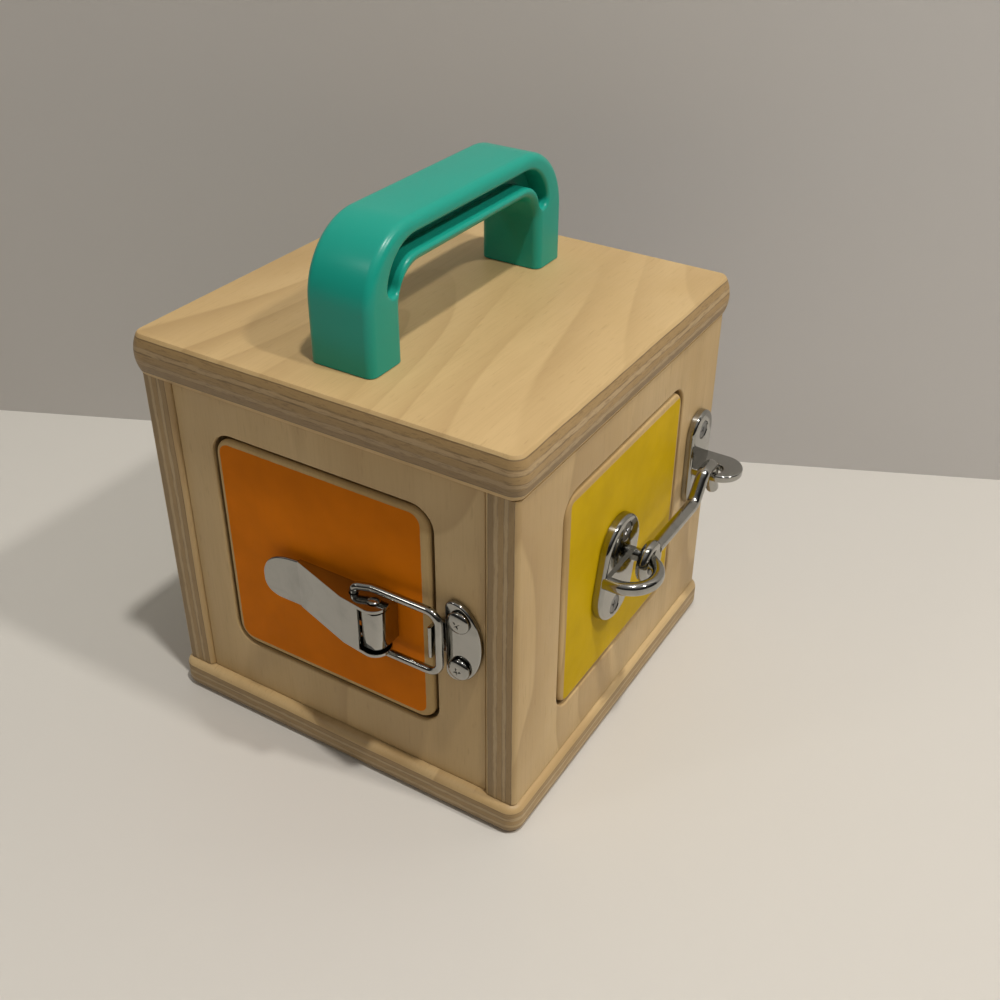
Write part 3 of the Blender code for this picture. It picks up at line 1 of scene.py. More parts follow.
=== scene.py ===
"""Looks of the wooden latch box: plywood, painted doors, polished latches and the moulded handle.

Frame: metres, +Z up, origin at the centre of the underside of the base.
Shapes below are in millimetres and become metres in new_piece.
Each wall has side coordinates (u, v, w): u runs along the wall to the right as seen from outside,
v is the height above the floor, and w is the distance outwards from the middle of the box.
"""

import json
import math

import bmesh
import bpy
import numpy as np
from mathutils import Matrix, Vector


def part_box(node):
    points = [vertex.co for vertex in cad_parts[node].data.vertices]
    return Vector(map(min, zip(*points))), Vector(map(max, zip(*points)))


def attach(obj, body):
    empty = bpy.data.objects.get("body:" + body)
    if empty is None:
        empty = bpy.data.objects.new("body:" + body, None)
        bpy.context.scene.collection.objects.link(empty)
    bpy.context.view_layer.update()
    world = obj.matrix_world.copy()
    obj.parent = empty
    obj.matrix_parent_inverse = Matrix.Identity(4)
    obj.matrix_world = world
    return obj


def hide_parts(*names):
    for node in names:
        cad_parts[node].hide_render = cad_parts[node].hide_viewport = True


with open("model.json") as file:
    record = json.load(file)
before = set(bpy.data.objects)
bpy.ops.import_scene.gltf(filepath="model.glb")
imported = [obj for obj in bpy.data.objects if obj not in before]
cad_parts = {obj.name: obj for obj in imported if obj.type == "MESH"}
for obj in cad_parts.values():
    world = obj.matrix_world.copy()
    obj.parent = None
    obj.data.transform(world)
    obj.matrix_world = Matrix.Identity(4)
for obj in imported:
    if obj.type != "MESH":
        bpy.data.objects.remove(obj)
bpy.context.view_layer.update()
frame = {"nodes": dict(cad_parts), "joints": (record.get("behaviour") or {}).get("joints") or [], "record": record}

MM = 0.001

# Camera, fitted to the photograph
CAMERA_PLACE = (213.3749, -313.9704, 323.5329)
CAMERA_TURN = 30.38571661
CAMERA_PITCH = 32.89687415
CAMERA_ROLL = 0.89548143
FOCAL_PIXELS = 1204.6292
CENTRE_PIXEL_X = 517.7986
CENTRE_PIXEL_Y = 477.8620
IMAGE_PIXELS = 1000
SENSOR = 36.0
HORIZON_LEFT_PIXEL = (0.0, 410.0)
HORIZON_RIGHT_PIXEL = (1000.0, 480.0)

# Gaps
CUT_PAST = 2.0
JOIN_DEPTH = 1.0
HOLE_GAP = 0.3
DOOR_GAP = 1.5

# Boards
PANEL_CORNER = 5.5
BASE_EDGE = 3.0
TOP_BULGE = 2.0
TOP_CREASE = 0.35
WALL_EDGE = 2.0
DOOR_CORNER = 7.0
DOOR_EDGE = 1.3
RIM_EDGE = 0.7

# Paint on the doors, as the bare border it leaves
BORDER = (1.7, 3.4, 2.0, 2.0, 4.2)
YELLOW_BORDER = (3.2, 1.7, 1.2, 2.7, 1.8)

# Handle
HANDLE_LEG = 16.5
HANDLE_BAR = 15.0
HANDLE_OUTER_RADIUS = 24.0
HANDLE_INNER_RADIUS = 11.0
HANDLE_EDGE = 3.0
SLOT_OUTER_RADIUS = 15.5
SLOT_WIDTH = 6.0
SLOT_BAR_MARGIN = 3.7
SLOT_LEG_MARGIN = 0.5
SLOT_DEPTH = 7.9
SLOT_LIP = 1.3
SLOT_STOP_ANGLE = 170.0

# Screw heads
LARGE_HEAD_RADIUS = 4.0
LARGE_HEAD = 2.0
SMALL_HEAD_RADIUS = 2.7
SMALL_HEAD = 1.2
SUNK_HEAD_RADIUS = 3.4
SUNK_HEAD_DEPTH = 2.0
SCREW_SHANK_RADIUS = 1.4
SCREW_SHANK = 8.0
RECESS_WIDTH = 0.75
RECESS_DEPTH = 0.4
RECESS_SPAN_SHARE = 0.48
RECESS_TAPER_SHARE = 0.45
HEAD_SIDE_SHARE = 0.3
HEAD_ROUND = 0.25
HEAD_RIM = 0.6
SEAT_GAP = 0.12
SEAT_CHAMFER = 0.25

# Draw latch
DRAW_PLATE_CORNER = 2.0
DRAW_PLATE_THICK = 1.0
DRAW_PLATE_AHEAD = -0.6
LEVER_HEIGHT = 19.0
LEVER_SHEET = 1.2
LEVER_EAR_RADIUS = 5.2
LEVER_LENGTH = 34.1
LEVER_LEFT_DEPTH = 1.7
LEVER_KNEE_BACK = 10.6
LEVER_KNEE_DROP = 1.4
LEVER_WINDOW_LAP = 1.0
EAR_STOP_ANGLE = 100.0
PADDLE_REACH = 13.4
PADDLE_RISE = 2.1
PADDLE_REACH_SHARES = (0.11, 0.41, 0.67, 0.86, 0.955, 1.0)
PADDLE_RISE_SHARES = (0.0, 0.14, 0.43, 0.71, 0.9, 1.0)
PADDLE_HEIGHT_SHARES = (0.98, 0.95, 0.87, 0.69, 0.46, 0.21)
PADDLE_ROUND_SHARE = 0.28
KNUCKLE_RADIUS = 4.4
KNUCKLE_FLAT = 0.5
KNUCKLE_SIDE_GAP = 1.2
RIVET_RADIUS = 1.3
RIVET_HEAD = 0.7
BAIL_RADIUS = 1.4
BAIL_FALL_BACK = 25.6
BAIL_CORNER = 4.5
BAIL_TIP_INSIDE = 2.4
BAIL_END_BEND = 1.6
LIP_THICK = 1.3
LIP_HALF_HEIGHT = 6.0
TROUGH_WIDTH = 3.7
TROUGH_THICK = 1.2
KEEPER_THICK = 2.0
KEEPER_EDGE = 0.9
KEEPER_CORNER = 3.2

# Hook latch
HOOK_PLATE_WIDTH = 24.5
HOOK_PLATE_HEIGHT = 40.0
HOOK_PLATE_THICK = 3.5
HOOK_PLATE_EDGE = 1.5
RING_BACK = 0.5
RING_OVER = 0.4
RING_OUTER_RADIUS = 12.3
RING_BAR = 4.4
RING_THICK = 4.8
RING_EDGE = 1.98
EYE_INNER_RADIUS = 3.6
EYE_WIRE_RADIUS = 2.1
HOOK_ROD_RADIUS = 2.5
HOOK_ROD_OVER_EYE = 2.6
HOOK_DROP_BACK = 1.1
HOOK_TOP_LENGTH = 8.8
HOOK_RISE_LENGTH = 7.0
HOOK_TIP_BEND_DROP = 7.3
HOOK_TIP_REACH = 3.3
HOOK_TIP_DROP = 6.4
HOOK_FOOT_BEND = 6.0
HOOK_SHOULDER_BEND = 4.0
HOOK_TOP_BEND = 3.4
HOOK_TIP_BEND = 5.0
HOOK_KEEPER_WIDTH = 17.0
HOOK_KEEPER_HEIGHT = 40.0
HOOK_KEEPER_THICK = 3.0
HOOK_KEEPER_EDGE = 1.2
TAB_DROP = 0.5
TAB_THICK = 3.0
TAB_EDGE = 0.8
TAB_HALF_WIDTH = 8.1
TAB_HOLE_BACK = 3.2
TAB_HOLE_OUT = 0.1
TAB_HOLE_RADIUS = 3.5
TAB_HOLE_EDGE = 0.7

# Barrel bolt, turn button and knob
BOLT_RADIUS = 3.0
BOLT_PLATE_THICK = 1.5
BOLT_PLATE_CORNER = 2.0
HOOP_INSET = 1.5
HOOP_LENGTH = 5.0
HOOP_RADIUS = 5.2
STRAP_PLAY = 1.0
STRAP_CORNER = 1.5
STRAP_BEND = 0.4
BOLT_STEM_RADIUS = 2.4
BUTTON_EDGE = 1.2
KNOB_RADIUS_SHARES = (0.67, 0.54, 0.47, 0.56, 0.92, 1.0, 0.9, 0.56, 0.28)
KNOB_HEIGHT_SHARES = (0.0, 0.08, 0.27, 0.45, 0.59, 0.73, 0.88, 0.97, 1.0)

# How finely curves are cut
ARC_STEPS = 10
EDGE_STEPS = 6
ROUND_STEPS = 48
WIRE_STEPS = 24
SMOOTH_ANGLE = 32.0
LEVER_SMOOTH_ANGLE = 15.0

FRONT = ((1, 0), (0, -1))
RIGHT = ((0, 1), (1, 0))
BACK = ((-1, 0), (0, 1))
LEFT = ((0, -1), (-1, 0))


# Outlines and solids, as plain points and faces


def arc(centre, radius, start, stop, steps=ARC_STEPS):
    """Points on an arc, angles in degrees."""
    angles = np.radians(np.linspace(start, stop, steps + 1))
    return [(centre[0] + radius * math.cos(a), centre[1] + radius * math.sin(a)) for a in angles]


def circle(centre, radius, steps=ROUND_STEPS):
    return arc(centre, radius, 0, 360, steps)[:-1]


def rounded_rectangle(width, height, radius, steps=ARC_STEPS):
    """Anticlockwise outline about the origin."""
    across = width / 2 - radius
    up = height / 2 - radius
    corners = ((across, up, 0), (-across, up, 90), (-across, -up, 180), (across, -up, 270))
    return [p for x, y, start in corners for p in arc((x, y), radius, start, start + 90, steps)]


def edge_rounding(radius, steps=EDGE_STEPS):
    """(inset, rise) pairs that turn a square edge into a quarter round, from the wall to the face."""
    angles = np.radians(np.linspace(0, 90, steps + 1))
    return [(radius * (1 - math.cos(a)), radius * math.sin(a)) for a in angles]


def loft(rings, closed=False):
    """Skins rings of equal count. Open stacks get a cap at each end."""
    count = len(rings[0])
    points = [tuple(p) for ring in rings for p in ring]
    faces = []
    spans = len(rings) if closed else len(rings) - 1
    for level in range(spans):
        low = level * count
        high = (level + 1) % len(rings) * count
        for i in range(count):
            j = (i + 1) % count
            faces.append((low + i, low + j, high + j, high + i))
    if not closed:
        faces.append(tuple(reversed(range(count))))
        faces.append(tuple(range(len(points) - count, len(points))))
    return points, faces


def layered_slab(outline_at, thickness, back_edge=0.0, front_edge=0.0):
    """A slab from z = 0 up. outline_at(inset) gives the outline that lies so far inside the full one."""
    layers = []
    if back_edge:
        layers += [(inset, back_edge - rise) for inset, rise in reversed(edge_rounding(back_edge))]
    else:
        layers.append((0.0, 0.0))
    if front_edge:
        layers += [(inset, thickness - front_edge + rise) for inset, rise in edge_rounding(front_edge)]
    else:
        layers.append((0.0, thickness))
    return loft([[(x, y, z) for x, y in outline_at(inset)] for inset, z in layers])


def flared_cutter(outline_at, low, high, low_edge, high_edge):
    """The cutter for a hole from z = low to z = high, each rim rounded over where its edge isn't zero."""
    layers = []
    if low_edge:
        layers.append((-low_edge, low - CUT_PAST))
        layers += [(-inset, low + low_edge - rise) for inset, rise in reversed(edge_rounding(low_edge))]
    else:
        layers.append((0.0, low))
    if high_edge:
        layers += [(-inset, high - high_edge + rise) for inset, rise in edge_rounding(high_edge)]
        layers.append((-high_edge, high + CUT_PAST))
    else:
        layers.append((0.0, high))
    return loft([[(x, y, z) for x, y in outline_at(inset)] for inset, z in layers])


def rounded_slab(width, height, corner, thickness, back_edge=0.0, front_edge=0.0):
    """A slab with a rounded rectangle for its outline, centred on the z axis."""

    def outline_at(inset):
        return rounded_rectangle(width - 2 * inset, height - 2 * inset, corner - inset)

    return layered_slab(outline_at, thickness, back_edge, front_edge)


def prism(outline, start, stop):
    return loft([[(x, y, start) for x, y in outline], [(x, y, stop) for x, y in outline]])


def cylinder(radius, start, stop):
    return prism(circle((0, 0), radius), start, stop)


def lathe(profile, steps=ROUND_STEPS):
    """Rings of (radius, height) about the z axis, each end closed flat."""
    return loft([[(x, y, height) for x, y in circle((0, 0), radius, steps)] for radius, height in profile])


def smooth_profile(profile, steps=4):
    """A profile with extra points on a smooth curve through the given ones."""
    points = [np.array(p, float) for p in profile]
    padded = [2 * points[0] - points[1]] + points + [2 * points[-1] - points[-2]]
    smooth = []
    for a, b, c, d in zip(padded, padded[1:], padded[2:], padded[3:]):
        for k in range(steps):
            t = k / steps
            even = 2 * b + (c - a) * t + (2 * a - 5 * b + 4 * c - d) * t ** 2
            smooth.append((even + (3 * b - a - 3 * c + d) * t ** 3) / 2)
    return [tuple(p) for p in smooth + [points[-1]]]


def bent_path(corners, bends, steps=ARC_STEPS):
    """A path through corner points, each inner corner rounded to its own radius."""
    corners = [np.array(c, float) for c in corners]
    path = [corners[0]]
    for before, corner, after, radius in zip(corners, corners[1:], corners[2:], bends):
        back = (before - corner) / np.linalg.norm(before - corner)
        ahead = (after - corner) / np.linalg.norm(after - corner)
        half = math.acos(float(np.clip(back @ ahead, -1, 1))) / 2
        middle = (back + ahead) / np.linalg.norm(back + ahead)
        centre = corner + middle * radius / math.sin(half)
        first = corner + back * radius / math.tan(half) - centre
        last = corner + ahead * radius / math.tan(half) - centre
        swing = math.pi - 2 * half
        for k in range(steps + 1):
            share = k / steps
            a = math.sin((1 - share) * swing) / math.sin(swing)
            b = math.sin(share * swing) / math.sin(swing)
            path.append(centre + a * first + b * last)
    path.append(corners[-1])
    return path


def tube(path, radius, closed=False, round_start=False, round_stop=False):
    """A round bar along a path, its section carried along without twist. An end can be domed."""
    path = [np.array(p, float) for p in path]
    count = len(path)
    stations = []
    normal = None
    for i, point in enumerate(path):
        if closed:
            along = path[(i + 1) % count] - path[i - 1]
        else:
            along = path[min(i + 1, count - 1)] - path[max(i - 1, 0)]
        along = along / np.linalg.norm(along)
        if normal is None:
            helper = np.eye(3)[int(np.argmin(np.abs(along)))]
            normal = np.cross(along, helper)
        normal = normal - along * float(normal @ along)
        normal = normal / np.linalg.norm(normal)
        stations.append((point, normal, np.cross(along, normal), radius))
    if round_start:
        point, n, o, _ = stations[0]
        back = np.cross(o, n)
        stations = dome(point, n, o, back, radius)[::-1] + stations[1:]
    if round_stop:
        point, n, o, _ = stations[-1]
        stations = stations[:-1] + dome(point, n, o, np.cross(n, o), radius)
    return loft([[p + n * x + o * y for x, y in circle((0, 0), r, WIRE_STEPS)] for p, n, o, r in stations], closed)


def dome(point, normal, other, outwards, radius):
    """Stations that end a bar in a half ball which stays inside the bar's length."""
    start = point - outwards * radius
    angles = np.radians(np.linspace(0, 85, EDGE_STEPS + 1))
    return [(start + outwards * radius * math.sin(a), normal, other, radius * math.cos(a)) for a in angles]


# Moves from a shape's own axes into place


def shifted(shape, offset):
    points, faces = shape
    return [tuple(np.array(p) + offset) for p in points], faces


def swapped(shape, order):
    """Puts the shape's own axes in a new order, such as (0, 2, 1)."""
    points, faces = shape
    return [tuple(p[k] for k in order) for p in points], faces


def spun(shape, degrees):
    """Turns a shape about its own z axis."""
    c, s = math.cos(math.radians(degrees)), math.sin(math.radians(degrees))
    points, faces = shape
    return [(c * x - s * y, s * x + c * y, z) for x, y, z in points], faces


def side_to_world(side, point):
    (ux, uy), (wx, wy) = side
    u, v, w = point
    return (ux * u + wx * w, uy * u + wy * w, v)


def on_side(side, shape):
    points, faces = shape
    return [side_to_world(side, p) for p in points], faces


def world_to_side(side, point):
    (ux, uy), (wx, wy) = side
    x, y, z = point
    return np.array((ux * x + uy * y, z, wx * x + wy * y))


def node_on_side(node, side):
    """(lowest, highest) side coordinates of a CAD node, in millimetres."""
    corners = [world_to_side(side, np.array(corner) / MM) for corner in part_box(node)]
    return np.minimum(*corners), np.maximum(*corners)


def joint_on_side(name, side):
    """The side coordinates of a joint's place, in millimetres."""
    joint = next(j for j in frame["joints"] if j["name"] == name)
    return world_to_side(side, np.array(joint["pos_m"]) / MM)


def upright_prism(outline, half_height, centre_v):
    """A prism with a (u, w) outline and an upright axis."""
    return swapped(prism(outline, centre_v - half_height, centre_v + half_height), (0, 2, 1))


# Pieces


def mesh_object(name, shape):
    points, faces = shape
    mesh = bpy.data.meshes.new(name)
    mesh.from_pydata([tuple(np.array(p) * MM) for p in points], [], faces)
    work = bmesh.new()
    work.from_mesh(mesh)
    bmesh.ops.recalc_face_normals(work, faces=work.faces)
    work.to_mesh(mesh)
    work.free()
    obj = bpy.data.objects.new(name, mesh)
    bpy.context.scene.collection.objects.link(obj)
    return obj


def applied(obj):
    """Gives the object its evaluated mesh and removes its modifiers."""
    bpy.context.view_layer.update()
    evaluated = obj.evaluated_get(bpy.context.evaluated_depsgraph_get())
    mesh = bpy.data.meshes.new_from_object(evaluated)
    obj.modifiers.clear()
    obj.data = mesh


def change(obj, shapes, operation):
    """Cuts shapes out of the object, or joins them on, one after the other."""
    for shape in shapes:
        helper = mesh_object("helper", shape)
        modifier = obj.modifiers.new(operation.lower(), "BOOLEAN")
        modifier.operation = operation
        modifier.solver = "EXACT"
        modifier.object = helper
        applied(obj)
        bpy.data.objects.remove(helper)


def soften(obj, width, segments=2, angle=40.0):
    """Rounds the sharp edges of a finished shape by a small bevel."""
    modifier = obj.modifiers.new("soften", "BEVEL")
    modifier.width = width * MM
    modifier.segments = segments
    modifier.limit_method = "ANGLE"
    modifier.angle_limit = math.radians(angle)
    modifier.use_clamp_overlap = True
    applied(obj)


def new_piece(name, shape, node, material, joins=(), cuts=(), bevel=0.0, smooth=SMOOTH_ANGLE):
    """One piece that stands for a CAD node: it rides on the node's body, and the node is hidden."""
    obj = mesh_object(name, shape)
    change(obj, joins, "UNION")
    change(obj, cuts, "DIFFERENCE")
    if bevel:
        soften(obj, bevel)
    obj.data.shade_smooth()
    obj.data.set_sharp_from_angle(angle=math.radians(smooth))
    obj.data.materials.clear()
    obj.data.materials.append(material)
    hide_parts(node)
    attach(obj, BODY_OF[node])
    return obj


BODY_OF = {node: body for body, nodes in frame["record"]["behaviour"]["bodies"].items() for node in nodes}


# Materials


def put(tree, kind, inputs=None, **settings):
    """A shader node with its settings and inputs, where an input is a value or another node's output."""
    node = tree.nodes.new(kind)
    for key, value in settings.items():
        setattr(node, key, value)
    for key, value in (inputs or {}).items():
        if isinstance(value, bpy.types.NodeSocket):
            tree.links.new(value, node.inputs[key])
        else:
            node.inputs[key].default_value = value
    return node


def calc(tree, operation, a, b=0.0, c=0.0):
    return put(tree, "ShaderNodeMath", {0: a, 1: b, 2: c}, operation=operation).outputs[0]


def blend(tree, share, a, b, kind="MIX"):
    colours = {6: a if isinstance(a, bpy.types.NodeSocket) else (*a, 1.0),
               7: b if isinstance(b, bpy.types.NodeSocket) else (*b, 1.0)}
    node = put(tree, "ShaderNodeMix", {0: share, **colours}, data_type="RGBA", blend_type=kind)
    return node.outputs[2]


def window(tree, value, low, high):
    """0 below low, 1 above high, smooth between."""
    node = put(tree, "ShaderNodeMapRange", {0: value, 1: low, 2: high, 3: 0.0, 4: 1.0},
               interpolation_type="SMOOTHSTEP")
    return node.outputs[0]


def object_place(tree):
    return put(tree, "ShaderNodeTexCoord").outputs["Object"]


def stretched(tree, place, scales):
    return put(tree, "ShaderNodeMapping", {"Vector": place, "Scale": scales}).outputs[0]


def noise(tree, place, scale, detail=3.0, roughness=0.5, distortion=0.0):
    inputs = {"Vector": place, "Scale": scale, "Detail": detail, "Roughness": roughness,
              "Distortion": distortion}
    return put(tree, "ShaderNodeTexNoise", inputs).outputs["Fac"]


def new_material(name):
    """(material, its node tree, its Principled shader)"""
    material = bpy.data.materials.new(name)
    material.use_nodes = True
    tree = material.node_tree
    return material, tree, tree.nodes["Principled BSDF"]


def bumped(tree, shader, height, strength, distance):
    node = put(tree, "ShaderNodeBump", {"Height": height, "Strength": strength, "Distance": distance})
    tree.links.new(node.outputs[0], shader.inputs["Normal"])


WOOD_LIGHT = (0.600, 0.425, 0.205)
WOOD_MIDDLE = (0.545, 0.372, 0.165)
WOOD_DARK = (0.400, 0.255, 0.105)
PLY_PALE = (0.500, 0.365, 0.195)
PLY_BROWN = (0.262, 0.174, 0.080)
PLY_TAN = (0.450, 0.290, 0.115)
PLY_SANDED = (0.460, 0.325, 0.170)
GLUE = (0.140, 0.085, 0.036)
FLECK = (0.060, 0.035, 0.020)


def veneer(tree, place, grain):
    """Rotary-cut face veneer: (colour, height), with its grain along the axis numbered grain."""

    def along(share):
        scales = [1.0, 1.0, 1.0]
        scales[grain] = share
        return stretched(tree, place, scales)

    figure = noise(tree, along(0.30), 9.0, 1.5, 0.45, 0.6)
    growth = calc(tree, "FRACT", calc(tree, "MULTIPLY", figure, 10.0))
    ring = calc(tree, "POWER", growth, 2.0)
    ring = calc(tree, "MULTIPLY", ring, calc(tree, "SUBTRACT", 1.0, window(tree, growth, 0.93, 1.0)))
    late = calc(tree, "MULTIPLY", ring, window(tree, noise(tree, along(0.5), 12.0, 1.0), 0.30, 0.66))
    drift = noise(tree, along(0.4), 14.0, 2.0, 0.5, 1.2)
    streak = window(tree, noise(tree, along(0.05), 130.0, 2.0, 0.55, 0.4), 0.46, 0.72)
    fibre = noise(tree, along(0.035), 1500.0, 2.0, 0.6)
    pores = window(tree, noise(tree, along(0.12), 1100.0, 1.0, 0.4), 0.64, 0.76)
    colour = blend(tree, window(tree, drift, 0.30, 0.72), WOOD_LIGHT, WOOD_MIDDLE)
    for mask, share in ((late, 0.78), (streak, 0.16), (window(tree, fibre, 0.42, 0.78), 0.22), (pores, 0.32)):
        colour = blend(tree, calc(tree, "MULTIPLY", mask, share), colour, WOOD_DARK)
    cells = put(tree, "ShaderNodeTexVoronoi", {"Vector": place, "Scale": 22.0}).outputs
    chosen = window(tree, put(tree, "ShaderNodeSeparateColor", {0: cells["Color"]}).outputs[0], 0.80, 0.81)
    dot = calc(tree, "SUBTRACT", 1.0, window(tree, cells["Distance"], 0.010, 0.022))
    colour = blend(tree, calc(tree, "MULTIPLY", dot, chosen), colour, FLECK)
    height = calc(tree, "SUBTRACT", fibre, calc(tree, "MULTIPLY", pores, 1.5))
    return colour, height


def plywood(name, thick_axis, low, high, grain, plies, ragged=0.3, pale_ply=PLY_PALE):
    """Board of odd plies between low and high along its thick axis, in metres, seen on its faces and edges."""
    material, tree, shader = new_material(name)
    place = object_place(tree)
    face_colour, face_height = veneer(tree, place, grain)
    axes = put(tree, "ShaderNodeSeparateXYZ", {0: place}).outputs

    def across(share):
        scales = [1.0, 1.0, 1.0]
        scales[thick_axis] = share
        return stretched(tree, place, scales)

    wave = calc(tree, "SUBTRACT", noise(tree, place, 26.0, 3.0, 0.6), 0.5)
    wavy = calc(tree, "MULTIPLY_ADD", wave, 0.0010, axes[thick_axis])
    depth = calc(tree, "DIVIDE", calc(tree, "SUBTRACT", wavy, low), high - low)
    layer = calc(tree, "MULTIPLY", depth, float(plies))
    hair = noise(tree, across(7.0), 90.0, 4.0, 0.65, 0.5)
    torn = calc(tree, "SUBTRACT", hair, 0.5)
    swing = calc(tree, "PINGPONG", calc(tree, "SUBTRACT", layer, 0.5), 1.0)
    swing = calc(tree, "MULTIPLY_ADD", torn, 0.5, swing)
    number = calc(tree, "FLOOR", layer)
    tone = put(tree, "ShaderNodeTexWhiteNoise", {"W": number}, noise_dimensions="1D").outputs["Value"]
    speck = noise(tree, across(2.5), 900.0, 2.0, 0.6)
    shade = calc(tree, "MULTIPLY_ADD", tone, 0.7, calc(tree, "MULTIPLY", speck, 0.35))
    brown = blend(tree, shade, PLY_BROWN, PLY_TAN)
    pale = blend(tree, calc(tree, "MULTIPLY", window(tree, hair, 0.35, 0.75), 0.45), pale_ply, PLY_TAN)
    bands = blend(tree, window(tree, swing, 0.22, 0.55), pale, brown)
    near = calc(tree, "ABSOLUTE", calc(tree, "SUBTRACT", swing, 0.4))
    line = calc(tree, "SUBTRACT", 1.0, window(tree, near, 0.02, 0.16))
    line = calc(tree, "MULTIPLY", line, window(tree, hair, 0.38, 0.62))
    bands = blend(tree, calc(tree, "MULTIPLY", line, 0.30 + ragged / 3), bands, GLUE)
    fibre = noise(tree, across(8.0), 260.0, 3.0, 0.6, 0.3)
    bands = blend(tree, calc(tree, "MULTIPLY", window(tree, fibre, 0.50, 0.68), 0.08 + 0.42 * ragged), bands, GLUE)
    # Ply edges that face along Y, front and back, are darkened: partly the end grain of the plies there, partly
    # painted shade for the front, which gets less light.
    facing = put(tree, "ShaderNodeSeparateXYZ", {0: put(tree, "ShaderNodeTexCoord").outputs["Normal"]}).outputs["Y"]
    end_grain_and_shade = window(tree, calc(tree, "ABSOLUTE", facing), 0.35, 0.95)
    bands = blend(tree, calc(tree, "MULTIPLY", end_grain_and_shade, 0.04 + 0.20 * ragged), bands, GLUE)
    middle = calc(tree, "ABSOLUTE", calc(tree, "SUBTRACT", depth, 0.5))
    inside = calc(tree, "SUBTRACT", 1.0, window(tree, middle, 0.5 - 0.84 / plies, 0.5 - 0.78 / plies))
    crease = calc(tree, "SUBTRACT", inside, calc(tree, "SUBTRACT", 1.0, window(tree, middle, 0.5 - 1.05 / plies,
                                                                             0.5 - 0.92 / plies)))
    bands = blend(tree, calc(tree, "MULTIPLY", crease, 0.45 + ragged / 3), bands, GLUE)
    colour = blend(tree, inside, face_colour, bands)
    tree.links.new(colour, shader.inputs["Base Color"])
    gloss = calc(tree, "MULTIPLY_ADD", noise(tree, place, 120.0, 2.0), 0.16, 0.40)
    tree.links.new(gloss, shader.inputs["Roughness"])
    ridges = calc(tree, "MULTIPLY_ADD", calc(tree, "MULTIPLY", inside, hair), 1.5 + 4 * ragged, face_height)
    bumped(tree, shader, ridges, 0.25, 0.00012)
    return material


def solid_wood(name, grain, light, dark):
    """A turned or sawn wooden piece."""
    material, tree, shader = new_material(name)
    place = object_place(tree)
    colour, height = veneer(tree, place, grain)
    tone = blend(tree, noise(tree, place, 30.0), light, dark)
    tree.links.new(blend(tree, 0.5, colour, tone), shader.inputs["Base Color"])
    shader.inputs["Roughness"].default_value = 0.42
    bumped(tree, shader, height, 0.3, 0.00012)
    return material


def painted_door(name, side, node, paint, board, border):
    """Paint on the outer face, over a plywood board like the walls.

    border: bare wood to the left, to the right, below and above, and the painted area's corner radius.
    """
    low, high = (c / MM * MM for c in node_on_side(node, side))
    material = board.copy()
    material.name = name
    tree = material.node_tree
    shader = tree.nodes["Principled BSDF"]
    wood = shader.inputs["Base Color"].links[0].from_socket
    wood_gloss = shader.inputs["Roughness"].links[0].from_socket
    place = object_place(tree)
    axes = put(tree, "ShaderNodeSeparateXYZ", {0: place}).outputs
    (ux, uy), (wx, wy) = side
    u = calc(tree, "MULTIPLY", axes[0 if ux else 1], float(ux + uy))
    w = calc(tree, "MULTIPLY", axes[0 if wx else 1], float(wx + wy))
    v = axes[2]
    bare_left, bare_right, bare_bottom, bare_top, corner = border
    left, right = low[0] + bare_left, high[0] - bare_right
    bottom, top = low[1] + bare_bottom, high[1] - bare_top
    half_u, half_v = (right - left) / 2 - corner, (top - bottom) / 2 - corner
    du = calc(tree, "ABSOLUTE", calc(tree, "SUBTRACT", u, (left + right) / 2 * MM))
    dv = calc(tree, "ABSOLUTE", calc(tree, "SUBTRACT", v, (bottom + top) / 2 * MM))
    du = calc(tree, "MAXIMUM", calc(tree, "SUBTRACT", du, half_u * MM), 0.0)
    dv = calc(tree, "MAXIMUM", calc(tree, "SUBTRACT", dv, half_v * MM), 0.0)
    reach = calc(tree, "SQRT", calc(tree, "ADD", calc(tree, "MULTIPLY", du, du), calc(tree, "MULTIPLY", dv, dv)))
    ragged = calc(tree, "MULTIPLY_ADD", noise(tree, place, 500.0, 2.0), 0.0003, reach)
    inside = calc(tree, "SUBTRACT", 1.0, window(tree, ragged, corner * MM, corner * MM + 0.00025))
    outer = window(tree, w, (high[2] - 0.35) * MM, (high[2] - 0.15) * MM)
    cover = calc(tree, "MULTIPLY", inside, outer)
    shade = noise(tree, place, 35.0, 3.0, 0.6)
    deep = tuple(c * 0.82 for c in paint)
    colour = blend(tree, window(tree, shade, 0.25, 0.8), paint, deep)
    grain = noise(tree, stretched(tree, place, (1.0, 1.0, 0.05)), 700.0, 2.0, 0.5)
    colour = blend(tree, calc(tree, "MULTIPLY", window(tree, grain, 0.5, 0.9), 0.25), colour, deep)
    tree.links.new(blend(tree, cover, wood, colour), shader.inputs["Base Color"])
    paint_gloss = calc(tree, "MULTIPLY_ADD", noise(tree, place, 260.0, 3.0), 0.14, 0.34)
    gloss = put(tree, "ShaderNodeMix", {0: cover, 2: wood_gloss, 3: paint_gloss}, data_type="FLOAT").outputs[0]
    tree.links.new(gloss, shader.inputs["Roughness"])
    peel = noise(tree, place, 650.0, 2.0, 0.5)
    edge = calc(tree, "MULTIPLY_ADD", cover, 1.4, calc(tree, "MULTIPLY_ADD", grain, 0.35, peel))
    bumped(tree, shader, edge, 0.35, 0.00010)
    shader.inputs["Specular IOR Level"].default_value = 0.03
    return material


